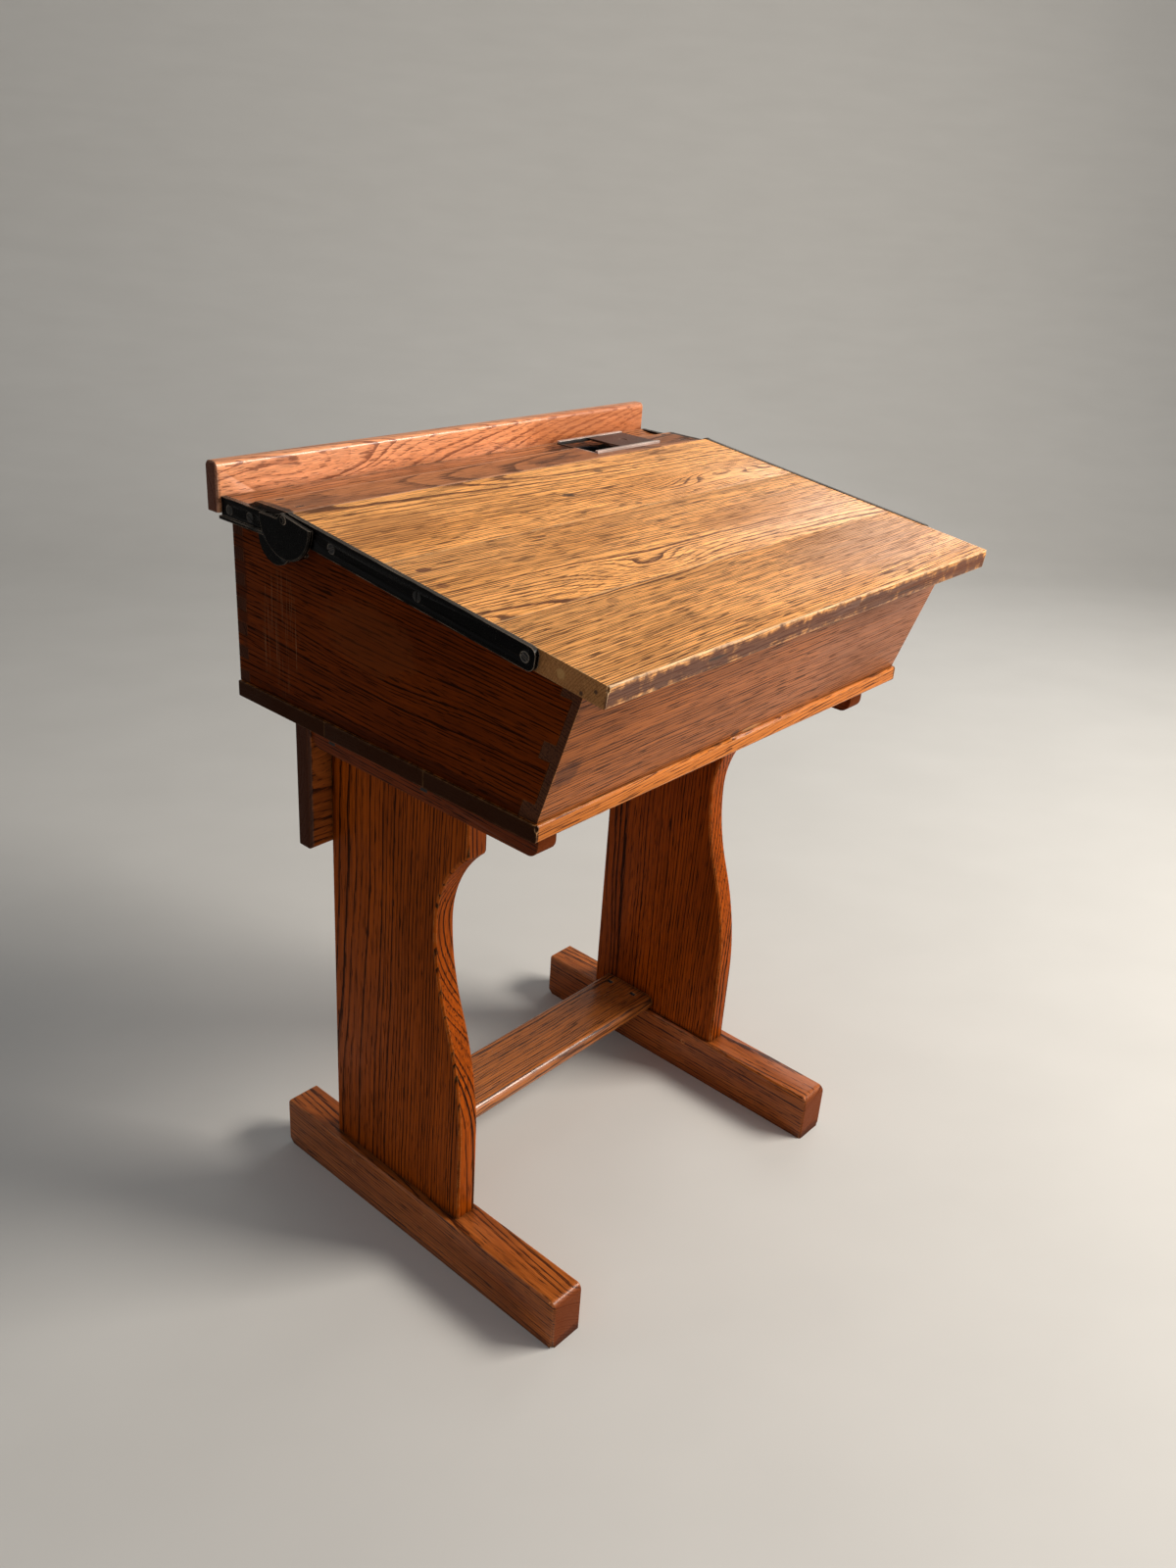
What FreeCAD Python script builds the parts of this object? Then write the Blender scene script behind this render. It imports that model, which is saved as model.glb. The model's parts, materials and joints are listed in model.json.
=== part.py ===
import FreeCAD, Part
import math
import os
import Sketcher
from FreeCAD import Placement, Rotation, Vector

# A sloping-lid school or clerk's desk in oak on two sled feet, with cast-iron stop hinges.
# Millimetres. +X runs along the width, +Y to the back, +Z up. The origin lies on the floor,
# under the middle of the desk. LEFT and RIGHT are the user's hands, standing at the front.

LEFT = -1
RIGHT = 1
BOTH_SIDES = ((LEFT, "left"), (RIGHT, "right"))

DRIVING_SIZES = {
    # where the box stands, and its carcass
    "box_back": 234.0,
    "box_width": 554.0,
    "box_depth": 397.0,
    "box_height": 169.0,
    "side_thickness": 15.0,
    "back_thickness": 15.0,
    "front_thickness": 20.0,
    "front_lip": 8.0,
    "front_lean": 18.0,
    "front_pin_height": 16.0,
    "finger_count": 7.0,
    # glued-up bottom, as three boards
    "bottom_thickness": 16.0,
    "bottom_overhang": 3.0,
    "bottom_edge_round": 3.0,
    "bottom_board_width": 134.0,
    # sled feet
    "foot_length": 424.0,
    "foot_width": 41.0,
    "foot_height": 60.0,
    "foot_outset": 10.5,
    "foot_nose_round": 8.0,
    "foot_heel_chamfer": 6.0,
    "foot_arris": 2.0,
    # legs with an ogee front edge, tenoned into the feet
    "leg_length": 518.0,
    "leg_width": 195.0,
    "leg_thickness": 25.0,
    "leg_span": 464.0,
    "leg_setback": 79.0,
    "leg_head_height": 86.0,
    "leg_waist_depth": 42.0,
    "leg_neck_radius": 118.0,
    "leg_waist_radius": 300.0,
    "leg_calf_radius": 420.0,
    "leg_arris": 2.0,
    "tenon_thickness": 12.0,
    "tenon_width": 155.0,
    "tenon_depth": 44.0,
    "peg_radius": 3.0,
    "peg_spacing": 119.0,
    "peg_depth": 16.0,
    # rails that tie the legs and carry the box
    "rail_length": 517.0,
    "rail_height": 147.0,
    "rail_thickness": 22.0,
    "rail_edge_chamfer": 3.0,
    "bearer_length": 300.0,
    "bearer_width": 22.0,
    "bearer_height": 33.0,
    "bearer_nose_round": 12.0,
    "stretcher_width": 78.0,
    "stretcher_thickness": 20.0,
    "stretcher_setback": 20.0,
    "stretcher_front_round": 9.0,
    "stretcher_back_round": 4.0,
    # fixed shelf with a pen groove, and the gallery behind it
    "shelf_thickness": 19.0,
    "shelf_gap": 0.6,
    "shelf_end_gap": 0.5,
    "shelf_arris": 1.0,
    "groove_width": 45.0,
    "groove_depth": 4.5,
    "groove_radius": 60.0,
    "gallery_length": 591.0,
    "gallery_left_overhang": 9.5,
    "gallery_height": 45.0,
    "gallery_thickness": 16.5,
    "gallery_overhang": 3.5,
    "gallery_round": 5.0,
    "gallery_end_chamfer": 1.5,
    # lid, as three glued boards
    "lid_width": 582.0,
    "lid_length": 365.0,
    "lid_thickness": 19.0,
    "lid_slope": 7.0,
    "lid_back_round": 5.0,
    "lid_front_round": 2.0,
    "lid_front_board": 118.0,
    "lid_middle_board": 126.0,
    "lid_seat_gap": 0.3,
    "lid_opening": 100.0,
    # stop hinges
    "pivot_setback": 109.0,
    "pivot_depth": 4.0,
    "arm_length": 297.0,
    "arm_thickness": 4.5,
    "arm_proud": 0.5,
    "arm_end_round": 7.0,
    "eye_radius": 6.0,
    "tail_radius": 30.5,
    "tail_half_angle": 8.0,
    "tail_flare_angle": 45.0,
    "tail_droop": 11.0,
    "plate_height": 19.5,
    "plate_drop": 4.5,
    "plate_thickness": 5.5,
    "plate_lip": 3.0,
    "cup_radius": 35.5,
    "cup_wall": 3.5,
    "cup_face": 4.0,
    "cup_edge_chamfer": 1.2,
    "cup_mouth_angle": 3.0,
    "crown_rise": 5.0,
    "crown_back": 4.0,
    "crown_foot": 9.0,
    "lobe_angle": 46.0,
    "lobe_half_angle": 46.0,
    "lobe_reach": 53.0,
    "lobe_thickness": 4.0,
    "stop_rib_angle": 9.0,
    "stop_rib_depth": 8.0,
    "stop_play_angle": 1.0,
    "pin_radius": 2.5,
    "pin_clearance": 0.06,
    "pin_end_gap": 0.3,
    "pin_head_radius": 4.2,
    "pin_head_height": 1.5,
    # inkwell: frame with two rails, sliding cover and pot
    "inkwell_left": 123.5,
    "inkwell_overhang": 27.5,
    "frame_length": 105.0,
    "frame_width": 60.5,
    "frame_thickness": 1.5,
    "frame_margin": 2.0,
    "mouth_length": 48.0,
    "mouth_width": 51.0,
    "rail_wall": 2.0,
    "rail_lip": 2.0,
    "rail_lip_thickness": 0.9,
    "slide_gap": 0.3,
    "cover_length": 58.0,
    "cover_thickness": 1.2,
    "dimple_radius": 5.0,
    "dimple_depth": 0.5,
    "pot_rim_radius": 23.0,
    "pot_rim_thickness": 3.0,
    "pot_radius": 20.5,
    "pot_base_radius": 17.0,
    "pot_depth": 38.0,
    "pot_wall": 3.0,
    "pot_seat_depth": 8.0,
    "pot_hole_gap": 1.0,
    # countersunk screws in the ironwork, with eight-sided shanks, and cut nails in the wood
    "screw_radius": 2.2,
    "screw_head_radius": 4.5,
    "screw_head_height": 3.0,
    "screw_length": 20.0,
    "nail_width": 9.0,
    "nail_thickness": 3.0,
    "nail_length": 32.0,
    "shelf_nail_inset": 11.0,
    "bearer_nail_inset": 30.5,
    "bearer_nail_spacing": 129.0,
    "bearer_nail_rise": 12.0,
    "skew_nail_angle": 55.0,
    "skew_nail_inset": 12.0,
    "skew_nail_sink": 0.5,
}

document = FreeCAD.newDocument("SlopingDesk")


class Size:
    """A length, angle or count: its number, and the same thing as a spreadsheet expression."""

    def __init__(self, value, text):
        self.value = value
        self.text = text

    def __add__(self, other):
        other = as_size(other)
        return Size(self.value + other.value, f"({self.text} + {other.text})")

    def __sub__(self, other):
        other = as_size(other)
        return Size(self.value - other.value, f"({self.text} - {other.text})")

    def __mul__(self, other):
        other = as_size(other)
        return Size(self.value * other.value, f"({self.text} * {other.text})")

    def __truediv__(self, other):
        other = as_size(other)
        return Size(self.value / other.value, f"({self.text} / {other.text})")

    def __neg__(self):
        return Size(-self.value, f"(0 - {self.text})")


def as_size(number):
    """A plain number as a Size."""
    if isinstance(number, Size):
        return number
    return Size(float(number), f"({float(number)})")


def root(size):
    return Size(math.sqrt(size.value), f"sqrt({size.text})")


def sine(angle):
    return Size(math.sin(math.radians(angle.value)), f"sin({angle.text})")


def cosine(angle):
    return Size(math.cos(math.radians(angle.value)), f"cos({angle.text})")


def slope_of(angle):
    return Size(math.tan(math.radians(angle.value)), f"tan({angle.text})")


class Sizes:
    """The driving sizes, one attribute each."""


def fill_sheet():
    """Write the driving sizes to the spreadsheet and give each back as a Size."""
    sheet = document.addObject("Spreadsheet::Sheet", "Sizes")
    sizes = Sizes()
    for row, (name, number) in enumerate(DRIVING_SIZES.items(), start=1):
        sheet.set(f"A{row}", name)
        sheet.set(f"B{row}", str(number))
        sheet.setAlias(f"B{row}", name)
        setattr(sizes, name, Size(number, f"Sizes.{name}"))
    document.recompute()
    return sizes


d = fill_sheet()
ZERO = as_size(0)
HALF = 0.5

# ---------------------------------------------------------------- levels and planes

foot_top = d.foot_height
box_under = foot_top + d.leg_length
box_floor = box_under + d.bottom_thickness
shelf_under = box_floor + d.box_height
shelf_top = shelf_under + d.shelf_thickness

box_half = d.box_width * HALF
inner_half = box_half - d.side_thickness
box_front = d.box_back - d.box_depth
gallery_back = d.box_back + d.gallery_overhang
gallery_front = gallery_back - d.gallery_thickness

pivot_y = d.box_back - d.pivot_setback
pivot_z = shelf_top - d.pivot_depth
lid_half = d.lid_width * HALF
lid_top = d.lid_back_round
lid_under = lid_top - d.lid_thickness
shelf_half = lid_half - d.shelf_end_gap
shelf_front = pivot_y + d.lid_back_round + d.shelf_gap

leg_back = d.box_back - d.leg_setback
leg_front = leg_back - d.leg_width
leg_outer = d.leg_span * HALF
leg_inner = leg_outer - d.leg_thickness
foot_outer = leg_outer + d.foot_outset
foot_inner = foot_outer - d.foot_width


def on_lid(along, above):
    """A point in the lid's own frame: along the slope from the pivot to the front, and square to it."""
    y = pivot_y - along * cosine(d.lid_slope) - above * sine(d.lid_slope)
    z = pivot_z - along * sine(d.lid_slope) + above * cosine(d.lid_slope)
    return y, z


def about_pivot(radius, angle):
    """A point round the hinge pin; 0 degrees points to the back, 90 up."""
    angle = as_size(angle)
    return pivot_y + radius * cosine(angle), pivot_z + radius * sine(angle)


def on_front(inset, z):
    """A point on a plane parallel to the leaning front face, inset from it, at height z."""
    y = box_front + inset / cosine(d.front_lean) - (z - box_floor) * slope_of(d.front_lean)
    return y, z


def seat_height(y):
    """Height of the box's top edges under the lid, at depth y."""
    seat = lid_under - d.lid_seat_gap
    return pivot_z + seat / cosine(d.lid_slope) + (y - pivot_y) * slope_of(d.lid_slope)


def front_top(inset):
    """The point where a front plane meets the underside of the closed lid."""
    lean = slope_of(d.front_lean)
    rise = slope_of(d.lid_slope)
    y_floor = box_front + inset / cosine(d.front_lean)
    z = (seat_height(y_floor) + box_floor * lean * rise) / (lean * rise + 1)
    return on_front(inset, z)


# ---------------------------------------------------------------- modelling helpers


def new_body(label):
    body = document.addObject("PartDesign::Body", label)
    body.Label = label
    return body


def origin_plane(body, role):
    return next(item for item in body.Origin.OriginFeatures if item.Role == role)


def bind(item, field, size):
    item.setExpression(field, size.text)


def new_sketch(body, role, offset):
    """A sketch on one of the body's origin planes, moved along the plane's normal."""
    sketch = body.newObject("Sketcher::SketchObject", "Profile")
    sketch.AttachmentSupport = [(origin_plane(body, role), "")]
    sketch.MapMode = "FlatFace"
    sketch.AttachmentOffset = Placement(Vector(0, 0, offset.value), Rotation())
    bind(sketch, "AttachmentOffset.Base.z", offset)
    return sketch


def fix_point(sketch, geometry, end, point):
    for kind, size in zip(("DistanceX", "DistanceY"), point):
        size = as_size(size)
        rule = Sketcher.Constraint(kind, -1, 1, geometry, end, size.value)
        index = sketch.addConstraint(rule)
        bind(sketch, f"Constraints[{index}]", size)


def fix_radius(sketch, geometry, radius):
    index = sketch.addConstraint(Sketcher.Constraint("Radius", geometry, radius.value))
    bind(sketch, f"Constraints[{index}]", radius)


def arc_centre(start, end, radius, turn):
    """Centre of the short arc from start to end; turn is +1 for anticlockwise, -1 for clockwise."""
    chord = end - start
    middle = (start + end) * HALF
    rise = math.sqrt(max(radius ** 2 - (chord.Length * HALF) ** 2, 0.0))
    left = Vector(-chord.y, chord.x, 0).normalize()
    return middle + left * rise * turn


def draw_outline(sketch, steps):
    """A closed outline. A step is (a, b), or (a, b, radius, turn) for an arc that ends there."""
    points = [Vector(as_size(step[0]).value, as_size(step[1]).value, 0) for step in steps]
    ends = []
    for number, step in enumerate(steps):
        start = points[number - 1]
        end = points[number]
        if len(step) == 2:
            geometry = sketch.addGeometry(Part.LineSegment(start, end))
            ends.append((geometry, 1, 2))
            continue
        radius, turn = step[2], step[3]
        centre = arc_centre(start, end, radius.value, turn)
        circle = Part.Circle(centre, Vector(0, 0, 1), radius.value)
        first, last = (start, end) if turn > 0 else (end, start)
        angles = [math.atan2(point.y - centre.y, point.x - centre.x) for point in (first, last)]
        geometry = sketch.addGeometry(Part.ArcOfCircle(circle, angles[0], angles[1]))
        ends.append((geometry, 1, 2) if turn > 0 else (geometry, 2, 1))
        fix_radius(sketch, geometry, radius)
    for number, step in enumerate(steps):
        geometry, _, finish = ends[number]
        following, begin, _ = ends[(number + 1) % len(steps)]
        sketch.addConstraint(Sketcher.Constraint("Coincident", geometry, finish, following, begin))
        fix_point(sketch, geometry, finish, step[:2])


def draw_circle(sketch, centre, radius):
    middle = Vector(as_size(centre[0]).value, as_size(centre[1]).value, 0)
    geometry = sketch.addGeometry(Part.Circle(middle, Vector(0, 0, 1), radius.value))
    fix_point(sketch, geometry, 3, centre)
    fix_radius(sketch, geometry, radius)


def rectangle(low_a, high_a, low_b, high_b):
    return [(low_a, low_b), (high_a, low_b), (high_a, high_b), (low_a, high_b)]


def extrude(body, kind, sketch, length, along_normal):
    """Pad or pocket a sketch; along_normal says whether it goes the way the plane's normal points."""
    feature = body.newObject(f"PartDesign::{kind}", kind)
    feature.Profile = sketch
    feature.Length = length.value
    bind(feature, "Length", length)
    feature.Reversed = along_normal if kind == "Pocket" else not along_normal
    sketch.Visibility = False
    document.recompute()
    return feature


def slab(body, steps, near, far, side=RIGHT, kind="Pad"):
    """Extrude a side-view outline, in Y and Z, between two distances from the middle plane."""
    offset = near if side == RIGHT else -near
    sketch = new_sketch(body, "YZ_Plane", offset)
    draw_outline(sketch, steps)
    return extrude(body, kind, sketch, far - near, side == RIGHT)


def plank(body, steps, half_length):
    """Extrude a side-view outline across the whole width, centred."""
    return slab(body, steps, -half_length, half_length)


def plan_slab(body, steps, low, high, kind="Pad"):
    """Extrude a plan-view outline, in X and Y, between two heights."""
    sketch = new_sketch(body, "XY_Plane", low)
    draw_outline(sketch, steps)
    return extrude(body, kind, sketch, high - low, True)


def round_hole(body, role, centre, radius, near, length, along_normal=True):
    sketch = new_sketch(body, role, near)
    draw_circle(sketch, centre, radius)
    return extrude(body, "Pocket", sketch, length, along_normal)


def is_along(edge, axis):
    if edge.Curve.TypeId != "Part::GeomLine":
        return False
    return abs(abs(edge.Curve.Direction.dot(axis)) - 1) < 1e-6


def dress(body, kind, feature, size, wanted):
    """Fillet or chamfer the edges of a feature that a test picks by their middle point."""
    names = []
    for number, edge in enumerate(feature.Shape.Edges, start=1):
        if wanted(edge, edge.CenterOfMass):
            names.append(f"Edge{number}")
    dressing = body.newObject(f"PartDesign::{kind}", kind)
    dressing.Base = (feature, names)
    field = "Radius" if kind == "Fillet" else "Size"
    setattr(dressing, field, size.value)
    bind(dressing, field, size)
    document.recompute()
    return dressing


def near_to(number, size):
    return abs(number - size.value) < 1e-3


ACROSS = Vector(1, 0, 0)
BACKWARD = Vector(0, 1, 0)
UP = Vector(0, 0, 1)


def at_point(y, z):
    """Picks the edge along X that runs through a point of the side view."""
    return lambda edge, middle: is_along(edge, ACROSS) and near_to(middle.y, y) and near_to(middle.z, z)


def place(item, spot, direction):
    """Put a primitive's base at a spot, with its axis along a direction."""
    position = Vector(*[size.value for size in spot])
    item.Placement = Placement(position, Rotation(UP, direction))
    for axis, size in zip("xyz", spot):
        bind(item, f"Placement.Base.{axis}", size)


def drill(body, spot, direction, radius, depth):
    """A round hole from a spot along a direction."""
    hole = body.newObject("PartDesign::SubtractiveCylinder", "Hole")
    hole.Radius = radius.value
    bind(hole, "Radius", radius)
    hole.Height = depth.value
    bind(hole, "Height", depth)
    place(hole, spot, direction)
    document.recompute()


def countersink(body, spot, direction):
    """The conical seat of a screw head, whose face is flush at the spot."""
    seat = body.newObject("PartDesign::SubtractiveCone", "Countersink")
    for field, size in (("Radius1", d.screw_head_radius), ("Radius2", d.screw_radius),
                        ("Height", d.screw_head_height)):
        setattr(seat, field, size.value)
        bind(seat, field, size)
    place(seat, spot, direction)
    document.recompute()


SHANK_SIDES = 8


class Screws:
    """Equal countersunk screws, each at its spot and pointing its own way."""

    def __init__(self, label, directions, spots):
        self.label = label
        self.directions = directions
        self.spots = spots

    def cut(self, body, number, with_head=True):
        spot = self.spots[number]
        direction = self.directions[number]
        hole = body.newObject("PartDesign::SubtractivePrism", "ShankHole")
        hole.Polygon = SHANK_SIDES
        hole.Circumradius = d.screw_radius.value
        bind(hole, "Circumradius", d.screw_radius)
        hole.Height = d.screw_length.value
        bind(hole, "Height", d.screw_length)
        place(hole, spot, direction)
        document.recompute()
        if with_head:
            countersink(body, spot, direction)

    def build(self):
        pieces = []
        for spot, direction in zip(self.spots, self.directions):
            head = document.addObject("Part::Cone", "ScrewHead")
            for field, size in (("Radius1", d.screw_head_radius), ("Radius2", d.screw_radius),
                                ("Height", d.screw_head_height)):
                bind(head, field, size)
            shank = document.addObject("Part::Prism", "ScrewShank")
            shank.Polygon = SHANK_SIDES
            bind(shank, "Circumradius", d.screw_radius)
            bind(shank, "Height", d.screw_length)
            for piece in (head, shank):
                place(piece, spot, direction)
            pieces += [head, shank]
        return group_of(self.label, pieces)


class Nails:
    """Equal cut nails of rectangular section. Each has a spot at the middle of its head and its
    three directions: along the head's width, along its thickness, and the way it is driven."""

    def __init__(self, label, directions, spots, punched=None):
        self.label = label
        self.directions = directions
        self.spots = spots
        self.punched = punched

    def shape(self, nail, number, above):
        """Size and place a box as a nail that starts some way above its spot."""
        wide, thin, driven = [[as_size(part) for part in way] for way in self.directions[number]]
        for field, size in (("Length", d.nail_width), ("Width", d.nail_thickness),
                            ("Height", d.nail_length + above)):
            setattr(nail, field, size.value)
            bind(nail, field, size)
        corner = [middle - w * d.nail_width * HALF - t * d.nail_thickness * HALF - n * above
                  for middle, w, t, n in zip(self.spots[number], wide, thin, driven)]
        axes = [Vector(*[part.value for part in way]) for way in (wide, thin, driven)]
        nail.Placement = Placement(Vector(*[size.value for size in corner]), Rotation(*axes, "ZXY"))
        for axis, size in zip("xyz", corner):
            bind(nail, f"Placement.Base.{axis}", size)

    def cut(self, body, number):
        hole = body.newObject("PartDesign::SubtractiveBox", "NailHole")
        self.shape(hole, number, self.punched or ZERO)
        document.recompute()

    def build(self):
        nails = [document.addObject("Part::Box", "Nail") for _ in self.spots]
        for number, nail in enumerate(nails):
            self.shape(nail, number, ZERO)
        return group_of(self.label, nails)


def group_of(label, pieces):
    """One node that holds several separate solids."""
    group = document.addObject("Part::MultiFuse", label)
    group.Label = label
    group.Shapes = pieces
    return group


def cut_own_side(body, fixings, side, **options):
    """Cut the holes of the fixings that lie on one side of the desk."""
    for number, spot in enumerate(fixings.spots):
        if spot[0].value * side > 0:
            fixings.cut(body, number, **options)


def cut_all(body, fixings, **options):
    for number in range(len(fixings.spots)):
        fixings.cut(body, number, **options)


def mirrored_spots(spots):
    """Each spot given for the right side, first on the left and then on the right."""
    return [(x * side, y, z) for side, _ in BOTH_SIDES for x, y, z in spots]


# ---------------------------------------------------------------- fixings, placed first

plate_top = shelf_top - d.plate_drop
plate_bottom = plate_top - d.plate_height
plate_middle = plate_top - d.plate_height * HALF
plate_outer = shelf_half + d.plate_thickness
arm_outer = lid_half + d.arm_thickness
arm_under = lid_under - d.arm_proud
arm_top = lid_top + d.arm_proud
shelf_middle = shelf_top - d.shelf_thickness * HALF
side_middle = box_half - d.side_thickness * HALF
bearer_under = box_under - d.bearer_height
bearer_outer = leg_outer + d.bearer_width
bearer_middle = leg_outer + d.bearer_width * HALF
rail_under = box_under - d.rail_height
groove_front = gallery_front - d.groove_width
rail_back = leg_back + d.rail_thickness
stretcher_back = leg_back - d.stretcher_setback
stretcher_front = stretcher_back - d.stretcher_width
stretcher_top = foot_top + d.stretcher_thickness
leg_middle = leg_back - d.leg_width * HALF
bearer_front = leg_back - d.bearer_length
bottom_front = box_front - d.bottom_overhang
bottom_half = box_half + d.bottom_overhang
bottom_joint_front = bottom_front + d.bottom_board_width
bottom_joint_back = bottom_joint_front + d.bottom_board_width

PLATE_SCREW_PLACES = (0.3, 0.8)
ARM_SCREW_PLACES = (0.2, 0.56, 0.965)
RAIL_NAIL_PLACES = (0.25, 0.75)
STRETCHER_NAIL_PLACES = (0.3, 0.8)
GALLERY_NAIL_PLACES = (0.3, 0.85)

DOWNWARD_NAIL = ((1, 0, 0), (0, -1, 0), (0, 0, -1))
FORWARD_NAIL = ((1, 0, 0), (0, 0, 1), (0, -1, 0))

plate_run = gallery_front - (pivot_y + d.cup_radius)
plate_screws = Screws(
    "hinge_plate_screws", [ACROSS, ACROSS, -ACROSS, -ACROSS],
    mirrored_spots([(plate_outer, pivot_y + d.cup_radius + plate_run * share, plate_middle)
                    for share in PLATE_SCREW_PLACES]))
arm_screws = Screws(
    "lid_arm_screws", [ACROSS] * 3 + [-ACROSS] * 3,
    mirrored_spots([(arm_outer, *on_lid(d.arm_length * share, (arm_top + arm_under) * HALF))
                    for share in ARM_SCREW_PLACES]))

bearer_nail_back = leg_back - d.bearer_nail_inset
bearer_nails = Nails(
    "bearer_nails",
    [((0, 1, 0), (0, 0, -side), (-side, 0, 0)) for side, _ in BOTH_SIDES for _ in range(2)],
    mirrored_spots([(bearer_outer, y, bearer_under + d.bearer_nail_rise)
                    for y in (bearer_nail_back - d.bearer_nail_spacing, bearer_nail_back)]))
rail_nails = Nails(
    "rear_rail_nails", [FORWARD_NAIL] * 4,
    mirrored_spots([(leg_outer - d.leg_thickness * HALF, rail_back, rail_under + d.rail_height * share)
                    for share in RAIL_NAIL_PLACES]))
skew_in = sine(d.skew_nail_angle)
skew_down = cosine(d.skew_nail_angle)
stretcher_nails = Nails(
    "stretcher_nails",
    [((0, 1, 0), (skew_down, 0, skew_in * side), (skew_in * side, 0, -skew_down))
     for side, _ in BOTH_SIDES for _ in STRETCHER_NAIL_PLACES],
    mirrored_spots([(leg_inner - d.skew_nail_inset, stretcher_front + d.stretcher_width * share,
                     stretcher_top - d.nail_thickness * HALF * skew_in - d.skew_nail_sink)
                    for share in STRETCHER_NAIL_PLACES]),
    punched=d.nail_thickness * 2)
shelf_nails = Nails(
    "shelf_nails", [DOWNWARD_NAIL] * 4,
    mirrored_spots([(side_middle, shelf_front + d.shelf_nail_inset, shelf_top),
                    (side_middle, groove_front - d.shelf_nail_inset * HALF, shelf_top)]))
bottom_nails = Nails(
    "bottom_nails", [DOWNWARD_NAIL] * 6,
    mirrored_spots([(bearer_middle, y, box_floor)
                    for y in ((bearer_front + bottom_joint_front) * HALF,
                              (bottom_joint_front + bottom_joint_back) * HALF,
                              (bottom_joint_back + leg_back) * HALF)]))
gallery_nails = Nails(
    "gallery_nails", [FORWARD_NAIL] * 4,
    mirrored_spots([(shelf_half * share, gallery_back, shelf_middle)
                    for share in GALLERY_NAIL_PLACES]))

# ---------------------------------------------------------------- feet and legs


PEG_SIDES = 8


def peg_places():
    return [leg_middle + d.peg_spacing * share for share in (-HALF, HALF)]


peg_z = foot_top - d.peg_depth


def foot(side, name):
    """A sled foot: rounded toe, chamfered heel, mortise for the leg and two peg holes."""
    body = new_body(f"foot_{name}")
    heel = d.box_back
    toe = heel - d.foot_length
    cut = d.foot_heel_chamfer
    outline = [(toe, ZERO), (heel - cut, ZERO), (heel, cut), (heel, foot_top), (toe, foot_top)]
    block = slab(body, outline, foot_inner, foot_outer, side)
    rounded = dress(body, "Fillet", block, d.foot_nose_round, at_point(toe, foot_top))

    def long_arris(edge, middle):
        return is_along(edge, BACKWARD) and near_to(middle.z, foot_top)

    dress(body, "Chamfer", rounded, d.foot_arris, long_arris)
    mortise = rectangle(leg_middle - d.tenon_width * HALF, leg_middle + d.tenon_width * HALF,
                        foot_top - d.tenon_depth, foot_top)
    tenon_inner, tenon_outer = tenon_faces()
    slab(body, mortise, tenon_inner, tenon_outer, side, "Pocket")
    cut_peg_holes(body, side)
    return body


def cut_peg_holes(body, side):
    for y in peg_places():
        hole = body.newObject("PartDesign::SubtractivePrism", "PegHole")
        hole.Polygon = PEG_SIDES
        hole.Circumradius = d.peg_radius.value
        bind(hole, "Circumradius", d.peg_radius)
        hole.Height = d.foot_width.value
        bind(hole, "Height", d.foot_width)
        place(hole, (foot_outer * side, y, peg_z), -ACROSS * side)
        document.recompute()


def tenon_faces():
    middle = leg_outer - d.leg_thickness * HALF
    return middle - d.tenon_thickness * HALF, middle + d.tenon_thickness * HALF


def leg_outline():
    """The leg's side view: square head, then a deep neck, waist and calf in three tangent arcs."""
    waist = leg_front + d.leg_waist_depth
    head_under = box_under - d.leg_head_height
    deep = d.leg_waist_depth
    neck_drop = root(deep * d.leg_neck_radius * 2 - deep * deep)
    waist_z = head_under - neck_drop
    both = d.leg_waist_radius + d.leg_calf_radius
    ogee_drop = root(deep * both * 2 - deep * deep)
    share = d.leg_waist_radius / both
    turn_y = waist - deep * share
    turn_z = waist_z - ogee_drop * share
    return [
        (leg_front, foot_top),
        (leg_back, foot_top),
        (leg_back, box_under),
        (leg_front, box_under),
        (leg_front, head_under),
        (waist, waist_z, d.leg_neck_radius, -1),
        (turn_y, turn_z, d.leg_waist_radius, -1),
        (leg_front, waist_z - ogee_drop, d.leg_calf_radius, 1),
    ]


def leg(side, name):
    body = new_body(f"leg_{name}")
    panel = slab(body, leg_outline(), leg_inner, leg_outer, side)

    def front_edges(low, high):
        def wanted(edge, middle):
            inside = low.value + 1 < middle.z < high.value - 1
            return inside and not is_along(edge, ACROSS) and middle.y < leg_back.value - 1
        return wanted

    head_under = box_under - d.leg_head_height
    eased = dress(body, "Chamfer", panel, d.leg_arris, front_edges(foot_top, head_under))
    dress(body, "Chamfer", eased, d.leg_arris, front_edges(head_under, box_under))
    tenon_inner, tenon_outer = tenon_faces()
    tenon = rectangle(leg_middle - d.tenon_width * HALF, leg_middle + d.tenon_width * HALF,
                      foot_top - d.tenon_depth, foot_top)
    slab(body, tenon, tenon_inner, tenon_outer, side)
    cut_peg_holes(body, side)
    for nails in (rail_nails, bearer_nails, stretcher_nails):
        cut_own_side(body, nails, side)
    return body


def foot_pegs():
    """Four eight-sided oak pegs that pin the tenons, flush with the feet's faces."""
    pegs = []
    for side, _ in BOTH_SIDES:
        for y in peg_places():
            peg = document.addObject("Part::Prism", "Peg")
            peg.Polygon = PEG_SIDES
            bind(peg, "Circumradius", d.peg_radius)
            bind(peg, "Height", d.foot_width)
            place(peg, (foot_outer * side, y, peg_z), -ACROSS * side)
            pegs.append(peg)
    return group_of("foot_pegs", pegs)


# ---------------------------------------------------------------- rails


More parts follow.
